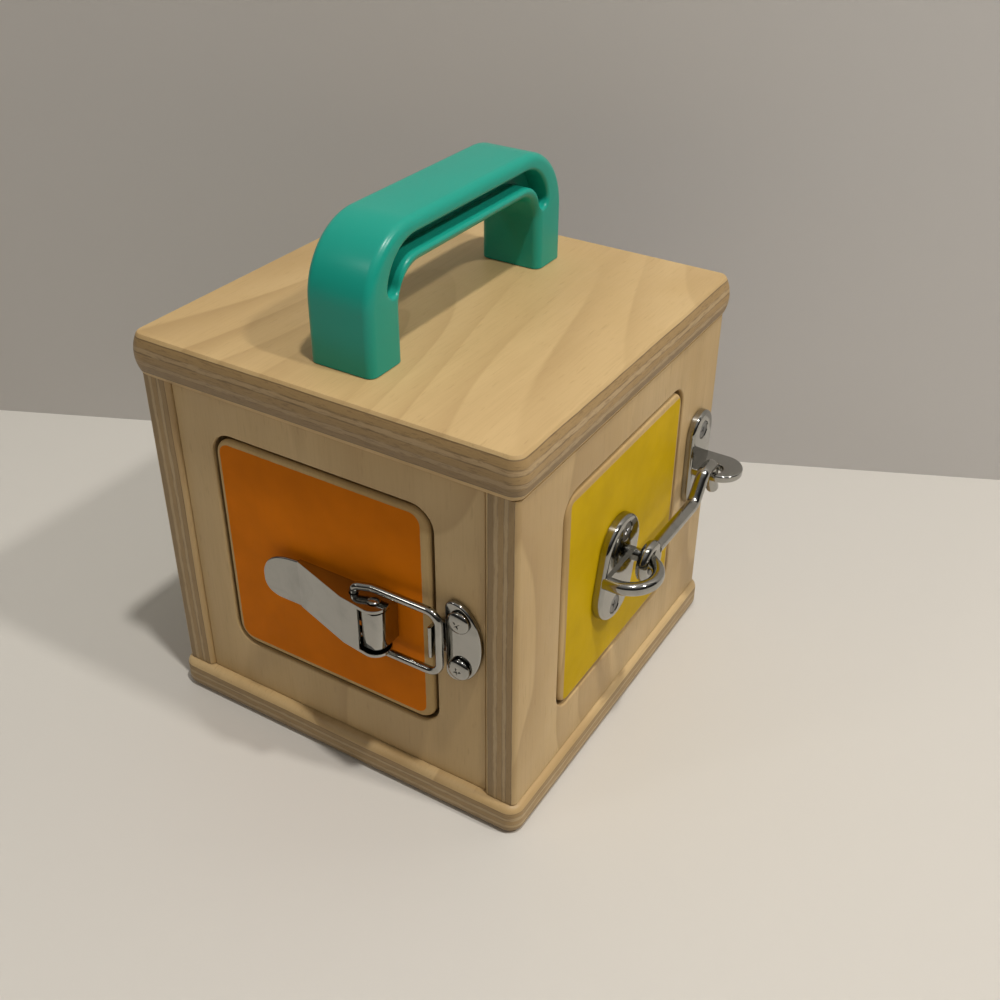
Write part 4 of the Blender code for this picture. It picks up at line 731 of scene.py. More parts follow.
def polished(name, tint, roughness, brushed_axis=None, spots=0.5):
    """Plated or plain metal with faint smears, specks and, if brushed, fine lines along an axis."""
    material, tree, shader = new_material(name)
    place = object_place(tree)
    shader.inputs["Metallic"].default_value = 1.0
    smear = window(tree, noise(tree, place, 90.0, 4.0, 0.65, 0.8), 0.45, 0.75)
    speck = window(tree, noise(tree, place, 1600.0, 1.0, 0.5), 0.70, 0.80)
    wear = calc(tree, "MAXIMUM", calc(tree, "MULTIPLY", smear, 0.35), calc(tree, "MULTIPLY", speck, spots))
    dull = tuple(c * 0.62 for c in tint)
    tree.links.new(blend(tree, wear, tint, dull), shader.inputs["Base Color"])
    gloss = calc(tree, "MULTIPLY_ADD", wear, 0.22, roughness)
    tree.links.new(gloss, shader.inputs["Roughness"])
    scales = [1.0, 1.0, 1.0]
    if brushed_axis is not None:
        scales[brushed_axis] = 0.03
    ripple = noise(tree, stretched(tree, place, scales), 420.0 if brushed_axis is None else 2400.0, 2.0, 0.5)
    bumped(tree, shader, ripple, 0.06 if brushed_axis is None else 0.2, 0.0001)
    return material


def moulded_plastic(name, colour):
    """Glossy moulded plastic with a faint orange peel and fine scuffs."""
    material, tree, shader = new_material(name)
    place = object_place(tree)
    tone = noise(tree, place, 18.0, 3.0, 0.6)
    deep = tuple(c * 0.86 for c in colour)
    tree.links.new(blend(tree, tone, colour, deep), shader.inputs["Base Color"])
    scuff = window(tree, noise(tree, stretched(tree, place, (1.0, 0.25, 1.0)), 800.0, 3.0, 0.7), 0.62, 0.8)
    gloss = calc(tree, "MULTIPLY_ADD", scuff, 0.12, 0.30)
    tree.links.new(gloss, shader.inputs["Roughness"])
    shader.inputs["Specular IOR Level"].default_value = 0.30
    shader.inputs["Coat Weight"].default_value = 0.08
    shader.inputs["Coat Roughness"].default_value = 0.22
    peel = noise(tree, place, 1300.0, 2.0, 0.5)
    bumped(tree, shader, peel, 0.12, 0.00012)
    return material


def board_of(node, thick_axis, grain, plies, skin=0.0, ragged=0.3, pale_ply=PLY_PALE):
    """The board of a node. Its upper face veneer is thinner by skin, in millimetres, than the plies below."""
    low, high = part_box(node)
    high_end = high[thick_axis] + skin * MM
    return plywood(f"ply_{node}", thick_axis, low[thick_axis], high_end, grain, plies, ragged, pale_ply)


WALL_PLIES = 7
TOP_PLIES = 7
BASE_SKIN = -1.1
TOP_SKIN = 0.7
BASE_RAGGED = 0.4
TOP_RAGGED = 0.8
CHROME = polished("chrome_plate", (0.38, 0.375, 0.35), 0.08)
STEEL = polished("bright_steel", (0.42, 0.42, 0.42), 0.24, brushed_axis=2)
DARK_STEEL = polished("dark_steel", (0.20, 0.20, 0.20), 0.3)
TEAL = moulded_plastic("handle_teal", (0.012, 0.355, 0.265))
ORANGE = (0.74, 0.196, 0.003)
YELLOW = (0.62, 0.405, 0.003)
BLUE = (0.030, 0.175, 0.42)
GREEN = (0.10, 0.36, 0.075)
BUTTON_WOOD = solid_wood("button_wood", 2, WOOD_LIGHT, WOOD_MIDDLE)
KNOB_WOOD = solid_wood("knob_wood", 1, WOOD_LIGHT, WOOD_MIDDLE)


# Boards, walls and doors


def bulged_slab(width, height, corner, thickness):
    """A slab whose edge is one shallow arc, with the crease at each face just eased."""
    radius = (thickness ** 2 / 4 + TOP_BULGE ** 2) / (2 * TOP_BULGE)
    swing = math.asin(thickness / 2 / radius)
    eased = [(TOP_BULGE + TOP_CREASE, 0.0), (TOP_BULGE + TOP_CREASE / 4, TOP_CREASE / 5)]
    layers = [(radius * (1 - math.cos(a)), thickness / 2 + radius * math.sin(a))
              for a in np.linspace(-swing, swing, 4 * EDGE_STEPS + 1)[1:-1]]
    layers = eased + layers + [(inset, thickness - z) for inset, z in reversed(eased)]
    rings = []
    for inset, z in layers:
        outline = rounded_rectangle(width - 2 * inset, height - 2 * inset, corner - inset)
        rings.append([(x, y, z) for x, y in outline])
    return loft(rings)


def build_boards():
    for node, *looks in (("base_panel", WALL_PLIES, BASE_SKIN, BASE_RAGGED),
                         ("top_panel", TOP_PLIES, TOP_SKIN, TOP_RAGGED, PLY_SANDED)):
        low, high = (np.array(c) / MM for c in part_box(node))
        size = high - low
        if node == "base_panel":
            slab = rounded_slab(size[0], size[1], PANEL_CORNER, size[2], BASE_EDGE, BASE_EDGE)
        else:
            slab = bulged_slab(size[0], size[1], PANEL_CORNER, size[2])
        slab = shifted(slab, ((low[0] + high[0]) / 2, (low[1] + high[1]) / 2, low[2]))
        new_piece(f"{node}_board", slab, node, board_of(node, 2, 1, *looks))


def opening_cutter(side, door, face_w, wall_back_w):
    low, high = node_on_side(door, side)
    width, height = high[0] - low[0] + 2 * DOOR_GAP, high[1] - low[1] + 2 * DOOR_GAP
    corner = DOOR_CORNER + DOOR_GAP

    def outline_at(inset):
        return rounded_rectangle(width - 2 * inset, height - 2 * inset, corner - inset)

    cutter = flared_cutter(outline_at, wall_back_w, face_w, RIM_EDGE, RIM_EDGE)
    return on_side(side, shifted(cutter, ((low[0] + high[0]) / 2, (low[1] + high[1]) / 2, 0)))


def build_walls():
    for where, side, thick_axis, grain in (("front", FRONT, 1, 2), ("right", RIGHT, 0, 2),
                                           ("back", BACK, 1, 2), ("left", LEFT, 0, 2)):
        node = f"wall_{where}"
        low, high = node_on_side(node, side)
        if thick_axis == 0:
            plan = rounded_rectangle(high[0] - low[0], high[2] - low[2], WALL_EDGE, EDGE_STEPS)
        else:
            plan = rounded_rectangle(high[0] - low[0], high[2] - low[2], HOLE_GAP, 2)
        upright = swapped(prism(plan, low[1], high[1]), (0, 2, 1))
        upright = shifted(upright, ((low[0] + high[0]) / 2, 0, (low[2] + high[2]) / 2))
        cutter = opening_cutter(side, f"door_{where}", high[2], low[2])
        board = board_of(node, thick_axis, grain, WALL_PLIES)
        new_piece(f"{node}_board", on_side(side, upright), node, board, cuts=[cutter])


def build_doors():
    for where, side, thick_axis, paint in (("front", FRONT, 1, ORANGE), ("right", RIGHT, 0, YELLOW),
                                           ("back", BACK, 1, BLUE), ("left", LEFT, 0, GREEN)):
        node = f"door_{where}"
        low, high = node_on_side(node, side)
        size = high - low
        slab = rounded_slab(size[0], size[1], DOOR_CORNER, size[2], DOOR_EDGE, DOOR_EDGE)
        slab = shifted(slab, ((low[0] + high[0]) / 2, (low[1] + high[1]) / 2, low[2]))
        board = board_of(node, thick_axis, 2, WALL_PLIES)
        border = YELLOW_BORDER if paint is YELLOW else BORDER
        material = painted_door(f"paint_{where}", side, node, paint, board, border)
        new_piece(f"{node}_panel", on_side(side, slab), node, material)
        for place in ("upper", "lower"):
            frame["nodes"][f"{node}_pin_{place}"].data.materials.clear()
            frame["nodes"][f"{node}_pin_{place}"].data.materials.append(STEEL)


def build_dividers():
    material = solid_wood("divider_wood", 2, WOOD_LIGHT, WOOD_MIDDLE)
    for node in ("divider_rising", "divider_falling"):
        frame["nodes"][node].data.materials.clear()
        frame["nodes"][node].data.materials.append(material)


# The handle


def handle_sizes():
    """(x range, centre y, span, foot, top) of the handle, in millimetres."""
    low, high = (np.array(c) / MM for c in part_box("handle"))
    return (low[0], high[0]), (low[1] + high[1]) / 2, high[1] - low[1], low[2], high[2]


def arch_outline(inset):
    """The handle seen from the side, as (y, z): out along the outside, back along the inside."""
    _, centre_y, span, foot, top = handle_sizes()
    outer = HANDLE_OUTER_RADIUS
    across = span / 2 - outer
    inner = HANDLE_INNER_RADIUS
    inner_across = span / 2 - HANDLE_LEG - inner
    inner_up = top - HANDLE_BAR - inner
    steps = 2 * ARC_STEPS
    outline = [(span / 2 - inset, foot)]
    outline += arc((across, top - outer), outer - inset, 0, 90, steps)
    outline += arc((-across, top - outer), outer - inset, 90, 180, steps)
    outline += [(-span / 2 + inset, foot), (-span / 2 + HANDLE_LEG - inset, foot)]
    outline += arc((-inner_across, inner_up), inner + inset, 180, 90, steps)
    outline += arc((inner_across, inner_up), inner + inset, 90, 0, steps)
    outline.append((span / 2 - HANDLE_LEG + inset, foot))
    return [(centre_y + y, z) for y, z in outline]


def slot_outline(inset):
    """The long recess in the handle's side, as (y, z), narrower by inset all round."""
    _, centre_y, span, _, top = handle_sizes()
    far = SLOT_OUTER_RADIUS
    across = span / 2 - HANDLE_LEG + SLOT_LEG_MARGIN + SLOT_WIDTH - far
    up = top - HANDLE_BAR + SLOT_BAR_MARGIN + SLOT_WIDTH - far
    near = far - SLOT_WIDTH + inset
    far = far - inset
    stop = SLOT_STOP_ANGLE
    start = 180 - stop
    middle = (far + near) / 2
    end = SLOT_WIDTH / 2 - inset
    steps = 2 * ARC_STEPS
    right_end = arc((across, up), middle, start, start, 1)[0]
    left_end = arc((-across, up), middle, stop, stop, 1)[0]
    outline = arc((across, up), far, start, 90, steps)
    outline += arc((-across, up), far, 90, stop, steps)
    outline += arc(left_end, end, stop, stop + 180)[1:-1]
    outline += arc((-across, up), near, stop, 90, steps)
    outline += arc((across, up), near, 90, start, steps)
    outline += arc(right_end, end, start + 180, start + 360)[1:-1]
    return [(centre_y + y, z) for y, z in outline]


def build_handle():
    (low_x, high_x), _, _, _, _ = handle_sizes()
    arch = layered_slab(arch_outline, high_x - low_x, HANDLE_EDGE, HANDLE_EDGE)
    arch = shifted(swapped(arch, (2, 0, 1)), (low_x, 0, 0))
    near = flared_cutter(slot_outline, high_x - SLOT_DEPTH, high_x, 0.0, SLOT_LIP)
    far = flared_cutter(slot_outline, low_x, low_x + SLOT_DEPTH, SLOT_LIP, 0.0)
    cuts = [swapped(cutter, (2, 0, 1)) for cutter in (near, far)]
    new_piece("carry_handle", arch, "handle", TEAL, cuts=cuts)
    for node in ("handle_screw_front", "handle_screw_back"):
        frame["nodes"][node].data.materials.clear()
        frame["nodes"][node].data.materials.append(STEEL)


# Screws


def middle_of(node, side):
    low, high = node_on_side(node, side)
    return (low + high) / 2


def cross_recess(head_radius, turn):
    """Two tapered bars that cut a cross into a screw head whose crest is at z = 0."""
    bars = []
    for angle in (turn, turn + 90):
        rings = []
        for share, z in ((RECESS_TAPER_SHARE, -RECESS_DEPTH), (1.0, 0.0), (1.0, RECESS_DEPTH)):
            long, wide = head_radius * RECESS_SPAN_SHARE * share, RECESS_WIDTH / 2 * (1 + share) / 2
            rings.append([(long, wide, z), (-long, wide, z), (-long, -wide, z), (long, -wide, z)])
        bars.append(spun(loft(rings), angle))
    return bars


def screw(node, side, head_radius, head_height, turn, material, sunk=False):
    """A cross-head screw, domed on its seat or sunk level with its plate."""
    low, high = node_on_side(node, side)
    u, v, _ = (low + high) / 2
    shank = [(SCREW_SHANK_RADIUS, low[2] - high[2]), (SCREW_SHANK_RADIUS, -head_height)]
    if sunk:
        head = [(head_radius, -HEAD_RIM), (head_radius, -HEAD_ROUND), (head_radius - HEAD_ROUND, 0.0)]
    else:
        side_height = head_height * HEAD_SIDE_SHARE
        angles = np.radians(np.linspace(0, 84, 2 * EDGE_STEPS))
        head = [(head_radius - HEAD_ROUND, -head_height), (head_radius, HEAD_ROUND - head_height)]
        head += [(head_radius * math.cos(a), (head_height - side_height) * (math.sin(a) - 1)) for a in angles]
    place = (u, v, high[2])
    cuts = [on_side(side, shifted(bar, place)) for bar in cross_recess(head_radius, turn)]
    new_piece(f"{node}_head", on_side(side, shifted(lathe(shank + head), place)), node, material, cuts=cuts)


def sunk_seat(node, side, plate_thick, front_w):
    """The cutter for a countersunk screw's seat in its plate."""
    u, v, _ = middle_of(node, side)
    rim = SUNK_HEAD_RADIUS + SEAT_GAP
    profile = ((SCREW_SHANK_RADIUS + SEAT_GAP, -plate_thick - CUT_PAST),
               (SCREW_SHANK_RADIUS + SEAT_GAP, -SUNK_HEAD_DEPTH), (rim, -HEAD_RIM), (rim, -SEAT_CHAMFER),
               (rim + SEAT_CHAMFER, 0.0), (rim + SEAT_CHAMFER, CUT_PAST))
    return on_side(side, shifted(lathe(profile), (u, v, front_w)))


# The draw latch


def lever_channel(centre_v, pivot_u, pivot_w, back_w, left_w):
    """(flange prism, hollow prism) of the lever, in side coordinates."""
    left_u = pivot_u - LEVER_LENGTH
    knee = (pivot_u - LEVER_KNEE_BACK, pivot_w + LEVER_EAR_RADIUS - LEVER_KNEE_DROP)
    ear = (pivot_u, pivot_w)
    flange = [(left_u, back_w), (pivot_u, pivot_w - LEVER_EAR_RADIUS)]
    flange += arc(ear, LEVER_EAR_RADIUS, -90, EAR_STOP_ANGLE, 2 * ARC_STEPS)[1:]
    flange += [knee, (left_u, left_w)]
    past = CUT_PAST + LEVER_EAR_RADIUS
    slope = (knee[1] - left_w) / (knee[0] - left_u)
    front_end = pivot_u - KNUCKLE_RADIUS + LEVER_WINDOW_LAP
    sheet = LEVER_SHEET
    hollow = [(left_u + sheet, back_w - CUT_PAST), (pivot_u + past, back_w - CUT_PAST),
              (pivot_u + past, pivot_w + past), (front_end, pivot_w + past), (front_end, knee[1] - sheet / 6),
              (knee[0], knee[1] - sheet), (left_u + sheet, left_w + slope * sheet - sheet)]
    return (upright_prism(flange, LEVER_HEIGHT / 2, centre_v),
            upright_prism(hollow, LEVER_HEIGHT / 2 - sheet, centre_v))


def paddle(centre_v, left_u, left_w):
    """The lever's flat end, narrowing to a round tip as it leaves the door, its rim rounded."""
    half = LEVER_HEIGHT / 2
    shares = smooth_profile(list(zip(PADDLE_REACH_SHARES, PADDLE_HEIGHT_SHARES)))
    rises = smooth_profile(list(zip(PADDLE_REACH_SHARES, PADDLE_RISE_SHARES)))
    stations = [(left_u + JOIN_DEPTH, left_w, half)]
    stations += [(left_u - PADDLE_REACH * min(reach, 1.0), left_w + PADDLE_RISE * rise, half * min(height, 1.0))
                 for (reach, height), (_, rise) in zip(shares, rises)]
    rings = []
    round_over = LEVER_SHEET * PADDLE_ROUND_SHARE
    for u, front_w, reach in stations:
        back_w = front_w - LEVER_SHEET
        corners = [(-reach, back_w + round_over), (-reach + round_over, back_w), (reach - round_over, back_w),
                   (reach, back_w + round_over), (reach, front_w - round_over), (reach - round_over, front_w),
                   (-reach + round_over, front_w), (-reach, front_w - round_over)]
        rings.append([(u, v, w) for v, w in corners])
    return shifted(loft(rings), (0, centre_v, 0))


def build_draw_latch():
    pivot_u, centre_v, pivot_w = joint_on_side("lever_turn", FRONT)
    low, high = node_on_side("draw_base", FRONT)
    face = low[2]
    right_u = pivot_u + KNUCKLE_RADIUS + DRAW_PLATE_AHEAD
    plate = rounded_slab(right_u - low[0], high[1] - low[1], DRAW_PLATE_CORNER, DRAW_PLATE_THICK,
                         front_edge=DRAW_PLATE_THICK / 3)
    plate = shifted(plate, ((low[0] + right_u) / 2, centre_v, face))
    flat = KNUCKLE_RADIUS - KNUCKLE_FLAT
    tilt = math.degrees(math.asin(flat / KNUCKLE_RADIUS))
    knuckle = arc((pivot_u, pivot_w), KNUCKLE_RADIUS, 0, tilt)
    knuckle += arc((pivot_u, pivot_w), KNUCKLE_RADIUS, 180 - tilt, 180)
    knuckle += [(pivot_u - KNUCKLE_RADIUS, face + DRAW_PLATE_THICK / 2),
                (pivot_u + KNUCKLE_RADIUS, face + DRAW_PLATE_THICK / 2)]
    half = LEVER_HEIGHT / 2 - LEVER_SHEET - KNUCKLE_SIDE_GAP
    post = on_side(FRONT, upright_prism(knuckle, half, centre_v))
    new_piece("draw_base_plate", on_side(FRONT, plate), "draw_base", CHROME, joins=[post], bevel=0.3)

    low, high = node_on_side("draw_lever", FRONT)
    flange, hollow = lever_channel(centre_v, pivot_u, pivot_w, low[2], low[2] + LEVER_LEFT_DEPTH)
    tip = paddle(centre_v, pivot_u - LEVER_LENGTH, low[2] + LEVER_LEFT_DEPTH)
    bail_u, _, bail_w = joint_on_side("bail_follow", FRONT)
    hole = circle((bail_u, bail_w), BAIL_RADIUS + HOLE_GAP)
    through = on_side(FRONT, upright_prism(hole, LEVER_HEIGHT, centre_v))
    new_piece("draw_lever_channel", on_side(FRONT, flange), "draw_lever", CHROME,
              joins=[on_side(FRONT, tip)], cuts=[on_side(FRONT, hollow), through], bevel=0.35, smooth=LEVER_SMOOTH_ANGLE)

    low, high = node_on_side("draw_rivet", FRONT)
    reach, radius = (high[1] - low[1]) / 2, (high[0] - low[0]) / 2
    crown = arc((0.0, reach - RIVET_HEAD), 1.0, 90, 5, EDGE_STEPS)
    crown = [(radius * x, reach - RIVET_HEAD + RIVET_HEAD * (y - reach + RIVET_HEAD)) for x, y in crown]
    profile = [(r, z) for r, z in crown if r > 0.1]
    whole = [(r, -z) for r, z in profile] + [(RIVET_RADIUS, RIVET_HEAD - reach),
                                             (RIVET_RADIUS, reach - RIVET_HEAD)] + profile[::-1]
    rivet = shifted(swapped(lathe(whole), (0, 2, 1)), (pivot_u, centre_v, pivot_w))
    new_piece("draw_rivet_pin", on_side(FRONT, rivet), "draw_rivet", CHROME)

    build_bail(bail_u, bail_w, centre_v)
    for node, turn in (("draw_base_screw_left", 20), ("draw_base_screw_right", 55)):
        screw(node, FRONT, SMALL_HEAD_RADIUS, SMALL_HEAD, turn, STEEL)


def build_bail(pivot_u, pivot_w, centre_v):
    """The wire loop: in through the lever's flange, along an arm, across the bar, and back the same way."""
    low, high = node_on_side("draw_bail", FRONT)
    arm = (high[1] - low[1]) / 2 - BAIL_RADIUS
    arm_w = low[2] + BAIL_RADIUS
    bar_u = high[0] - BAIL_RADIUS
    inside = LEVER_HEIGHT / 2 - BAIL_TIP_INSIDE
    half_path = [(pivot_u, inside, pivot_w), (pivot_u, arm, pivot_w), (bar_u - BAIL_FALL_BACK, arm, arm_w),
                 (bar_u, arm, arm_w)]
    corners = half_path + [(u, -v, w) for u, v, w in reversed(half_path)]
    bends = (BAIL_END_BEND, BAIL_CORNER, BAIL_CORNER, BAIL_CORNER, BAIL_CORNER, BAIL_END_BEND)
    wire = tube(bent_path(corners, bends), BAIL_RADIUS, round_start=True, round_stop=True)
    new_piece("draw_bail_wire", on_side(FRONT, shifted(wire, (0, centre_v, 0))), "draw_bail", CHROME)


def build_draw_keeper():
    """A plate with a straight left edge and a bulging right one, a trough for the bar and a lip."""
    low, high = node_on_side("draw_keeper", FRONT)
    face, lip_left = low[2], low[0]
    centre_v = (low[1] + high[1]) / 2
    left_u = lip_left + TROUGH_WIDTH
    half = (high[1] - low[1]) / 2
    corner = KEEPER_CORNER
    angles = np.radians(np.linspace(-88, 88, 6 * ARC_STEPS))

    def outline_at(inset):
        reach = high[0] - left_u - corner - inset
        tall = half - inset
        bulge = [(corner + reach * math.cos(a), tall * math.sin(a)) for a in angles]
        left = arc((corner, half - corner), corner - inset, 90, 180)
        lower = arc((corner, corner - half), corner - inset, 180, 270)
        return bulge + left + lower

    plate = layered_slab(outline_at, KEEPER_THICK, front_edge=KEEPER_EDGE)
    plate = shifted(plate, (left_u, centre_v, face))
    trough_end = left_u + 2 * JOIN_DEPTH
    lip_right = lip_left + LIP_THICK
    crest = arc((lip_left + LIP_THICK / 2, high[2] - LIP_THICK / 2), LIP_THICK / 2, 0, 180)
    trough = [(lip_left, face), (trough_end, face), (trough_end, face + TROUGH_THICK)]
    trough += arc((lip_right + 0.4, face + TROUGH_THICK + 0.4), 0.4, 270, 180, 4) + crest
    lip = on_side(FRONT, upright_prism(trough, LIP_HALF_HEIGHT, centre_v))
    new_piece("draw_keeper_plate", on_side(FRONT, plate), "draw_keeper", CHROME, joins=[lip], bevel=0.25)
    for node, turn in (("draw_keeper_screw_upper", 38), ("draw_keeper_screw_lower", 12)):
        screw(node, FRONT, LARGE_HEAD_RADIUS, LARGE_HEAD, turn, CHROME)


# The hook latch


def tongue(half_width, centre_w, root_w, thickness, edge, bottom_v, centre_u):
    """A level tongue with a round end, reaching outwards from root_w. Its own axes are (u, w, v)."""

    def outline_at(inset):
        round_end = arc((0, centre_w), half_width - inset, 0, 180, 3 * ARC_STEPS)
        return round_end + [(inset - half_width, root_w), (half_width - inset, root_w)]

    slab = layered_slab(outline_at, thickness, edge, edge)
    return shifted(swapped(slab, (0, 2, 1)), (centre_u, bottom_v, 0))


def build_hook_base():
    upper, lower = (middle_of(f"hook_base_screw_{where}", RIGHT) for where in ("upper", "lower"))
    centre = (upper + lower) / 2
    tilt = math.degrees(math.atan2(upper[0] - lower[0], upper[1] - lower[1]))
    low, high = node_on_side("hook_base", RIGHT)
    face = low[2]
    plate = rounded_slab(HOOK_PLATE_WIDTH, HOOK_PLATE_HEIGHT, HOOK_PLATE_WIDTH / 2, HOOK_PLATE_THICK,
                         front_edge=HOOK_PLATE_EDGE)
    plate = shifted(spun(plate, -tilt), (centre[0], centre[1], face))
    front = face + HOOK_PLATE_THICK
    ring_u, ring_v = centre[0] - RING_BACK, centre[1] + RING_OVER
    ring_w = high[2] - RING_OUTER_RADIUS
    bottom = ring_v - RING_THICK / 2
    ring = tongue(RING_OUTER_RADIUS, ring_w, front - JOIN_DEPTH, RING_THICK, RING_EDGE, bottom, ring_u)

    def hole_at(inset):
        radius = RING_OUTER_RADIUS - RING_BAR - inset
        round_end = arc((0, ring_w), radius, 0, 180, 3 * ARC_STEPS)
        return round_end + [(-radius, front + JOIN_DEPTH), (radius, front + JOIN_DEPTH)]

    hole = swapped(flared_cutter(hole_at, 0.0, RING_THICK, RING_EDGE, RING_EDGE), (0, 2, 1))
    hole = on_side(RIGHT, shifted(hole, (ring_u, bottom, 0)))
    seats = [sunk_seat(f"hook_base_screw_{where}", RIGHT, HOOK_PLATE_THICK, front) for where in ("upper", "lower")]
    new_piece("hook_base_plate", on_side(RIGHT, plate), "hook_base", CHROME, joins=[on_side(RIGHT, ring)],
              cuts=[hole] + seats)
    for where, turn in (("upper", 30), ("lower", 70)):
        screw(f"hook_base_screw_{where}", RIGHT, SUNK_HEAD_RADIUS, SUNK_HEAD_DEPTH, turn, DARK_STEEL, sunk=True)


def build_hook():
    """A flat eye and a bent rod in one upright plane."""
    eye_u, eye_v, eye_w = joint_on_side("hook_lift", RIGHT)
    low, high = node_on_side("hook", RIGHT)
    eye_radius = EYE_INNER_RADIUS + EYE_WIRE_RADIUS
    loop = [(u, v, eye_w) for u, v in circle((eye_u, eye_v), eye_radius)]
    rod_v = eye_v + HOOK_ROD_OVER_EYE
    start_u = eye_u + math.sqrt(eye_radius ** 2 - HOOK_ROD_OVER_EYE ** 2)
    top_v = high[1] - HOOK_ROD_RADIUS
    keeper_u = middle_of("hook_keeper", RIGHT)[0]
    drop_u = keeper_u - TAB_HOLE_BACK - HOOK_DROP_BACK
    rise_to = drop_u - HOOK_TOP_LENGTH
    tip_bend_v = top_v - HOOK_TIP_BEND_DROP
    corners = ((start_u, rod_v), (rise_to - HOOK_RISE_LENGTH, rod_v), (rise_to, top_v), (drop_u, top_v),
               (drop_u, tip_bend_v), (drop_u + HOOK_TIP_REACH, tip_bend_v - HOOK_TIP_DROP))
    bends = (HOOK_FOOT_BEND, HOOK_SHOULDER_BEND, HOOK_TOP_BEND, HOOK_TIP_BEND)
    path = bent_path([(u, v, eye_w) for u, v in corners], bends)
    rod = tube(path, HOOK_ROD_RADIUS, round_stop=True)
    new_piece("hook_arm_rod", on_side(RIGHT, tube(loop, EYE_WIRE_RADIUS, closed=True)), "hook", CHROME,
              joins=[on_side(RIGHT, rod)])


def build_hook_keeper():
    low, high = node_on_side("hook_keeper", RIGHT)
    centre_u, centre_v, _ = (low + high) / 2
    face = low[2]
    plate = rounded_slab(HOOK_KEEPER_WIDTH, HOOK_KEEPER_HEIGHT, HOOK_KEEPER_WIDTH / 2, HOOK_KEEPER_THICK,
                         front_edge=HOOK_KEEPER_EDGE)
    plate = on_side(RIGHT, shifted(plate, (centre_u, centre_v, face)))
    front = face + HOOK_KEEPER_THICK
    half = TAB_HALF_WIDTH
    bottom = centre_v - TAB_DROP - TAB_THICK
    tab = tongue(half, high[2] - half, front - JOIN_DEPTH, TAB_THICK, TAB_EDGE, bottom, centre_u)
    _, _, eye_w = joint_on_side("hook_lift", RIGHT)
    tab_hole = (centre_u - TAB_HOLE_BACK, eye_w + TAB_HOLE_OUT)

    def hole_at(inset):
        return circle(tab_hole, TAB_HOLE_RADIUS - inset)

    hole = swapped(flared_cutter(hole_at, 0.0, TAB_THICK, TAB_HOLE_EDGE, TAB_HOLE_EDGE), (0, 2, 1))
    hole = on_side(RIGHT, shifted(hole, (0, bottom, 0)))
    seats = [sunk_seat(f"hook_keeper_screw_{where}", RIGHT, HOOK_KEEPER_THICK, front) for where in ("upper", "lower")]
    new_piece("hook_keeper_plate", plate, "hook_keeper", CHROME, joins=[on_side(RIGHT, tab)], cuts=[hole] + seats)
    for where, turn in (("upper", 15), ("lower", 50)):
        screw(f"hook_keeper_screw_{where}", RIGHT, SUNK_HEAD_RADIUS, SUNK_HEAD_DEPTH, turn, DARK_STEEL, sunk=True)


# The barrel bolt


def hoop(centre_v, axis_w, root_w, corner):
    """The outline of a hoop that the bolt slides through, as (v, w)."""
    reach = HOOP_RADIUS - corner
    outline = arc((centre_v + reach, axis_w + reach), corner, 0, 90)
    outline += arc((centre_v - reach, axis_w + reach), corner, 90, 180)
    return outline + [(centre_v - HOOP_RADIUS, root_w), (centre_v + HOOP_RADIUS, root_w)]


def bolt_plate(node, starts, corner, hole):
    """A plate with hoops that stand on it, each from its start along u, and one hole through them."""
    low, high = node_on_side(node, LEFT)
    face = low[2]
    axis_w = high[2] - HOOP_RADIUS
    centre_v = (low[1] + high[1]) / 2
    plate = rounded_slab(high[0] - low[0], high[1] - low[1], BOLT_PLATE_CORNER, BOLT_PLATE_THICK,
                         front_edge=BOLT_PLATE_THICK / 3)
    plate = shifted(plate, ((low[0] + high[0]) / 2, centre_v, face))
    outline = hoop(centre_v, axis_w, face + BOLT_PLATE_THICK / 2, corner)
    joins = [on_side(LEFT, swapped(prism(outline, start, start + HOOP_LENGTH), (2, 0, 1))) for start in starts]
    hole = prism([(centre_v + x, axis_w + y) for x, y in hole], low[0] - CUT_PAST, high[0] + CUT_PAST)
    cuts = [on_side(LEFT, swapped(hole, (2, 0, 1)))]
    new_piece(f"{node}_plate", on_side(LEFT, plate), node, STEEL, joins=joins, cuts=cuts, bevel=0.25)
    for where, turn in (("upper", 25), ("lower", 65)):
        screw(f"{node}_screw_{where}", LEFT, SMALL_HEAD_RADIUS, SMALL_HEAD, turn, CHROME)


def build_barrel_bolt():
    low, high = node_on_side("bolt_guide", LEFT)
    starts = (low[0] + HOOP_INSET, high[0] - HOOP_INSET - HOOP_LENGTH)
    bolt_plate("bolt_guide", starts, HOOP_RADIUS, circle((0, 0), BOLT_RADIUS + HOLE_GAP))
    low, high = node_on_side("bolt_keeper", LEFT)
    span = 2 * (BOLT_RADIUS + STRAP_PLAY)
    bolt_plate("bolt_keeper", (low[0] + HOOP_INSET,), STRAP_CORNER, rounded_rectangle(span, span, STRAP_BEND, 4))
    low, high = node_on_side("bolt", LEFT)
    axis = ((low + high) / 2)[1:]
    rod = tube([(low[0], *axis), (high[0], *axis)], BOLT_RADIUS, round_start=True, round_stop=True)
    new_piece("bolt_rod", on_side(LEFT, rod), "bolt", STEEL)
    low, high = node_on_side("bolt_knob", LEFT)
    top = high[2] - axis[1]
    ball = (high[0] - low[0]) / 2
    neck = math.degrees(math.asin(BOLT_STEM_RADIUS / ball)) - 90
    profile = [(BOLT_STEM_RADIUS, BOLT_RADIUS * 0.8)]
    profile += arc((0, top - ball), ball, neck, 86, 2 * ARC_STEPS)
    knob = shifted(lathe(profile), ((low[0] + high[0]) / 2, axis[0], axis[1]))
    new_piece("bolt_ball", on_side(LEFT, knob), "bolt_knob", CHROME)


# The turn button and the knob on the back


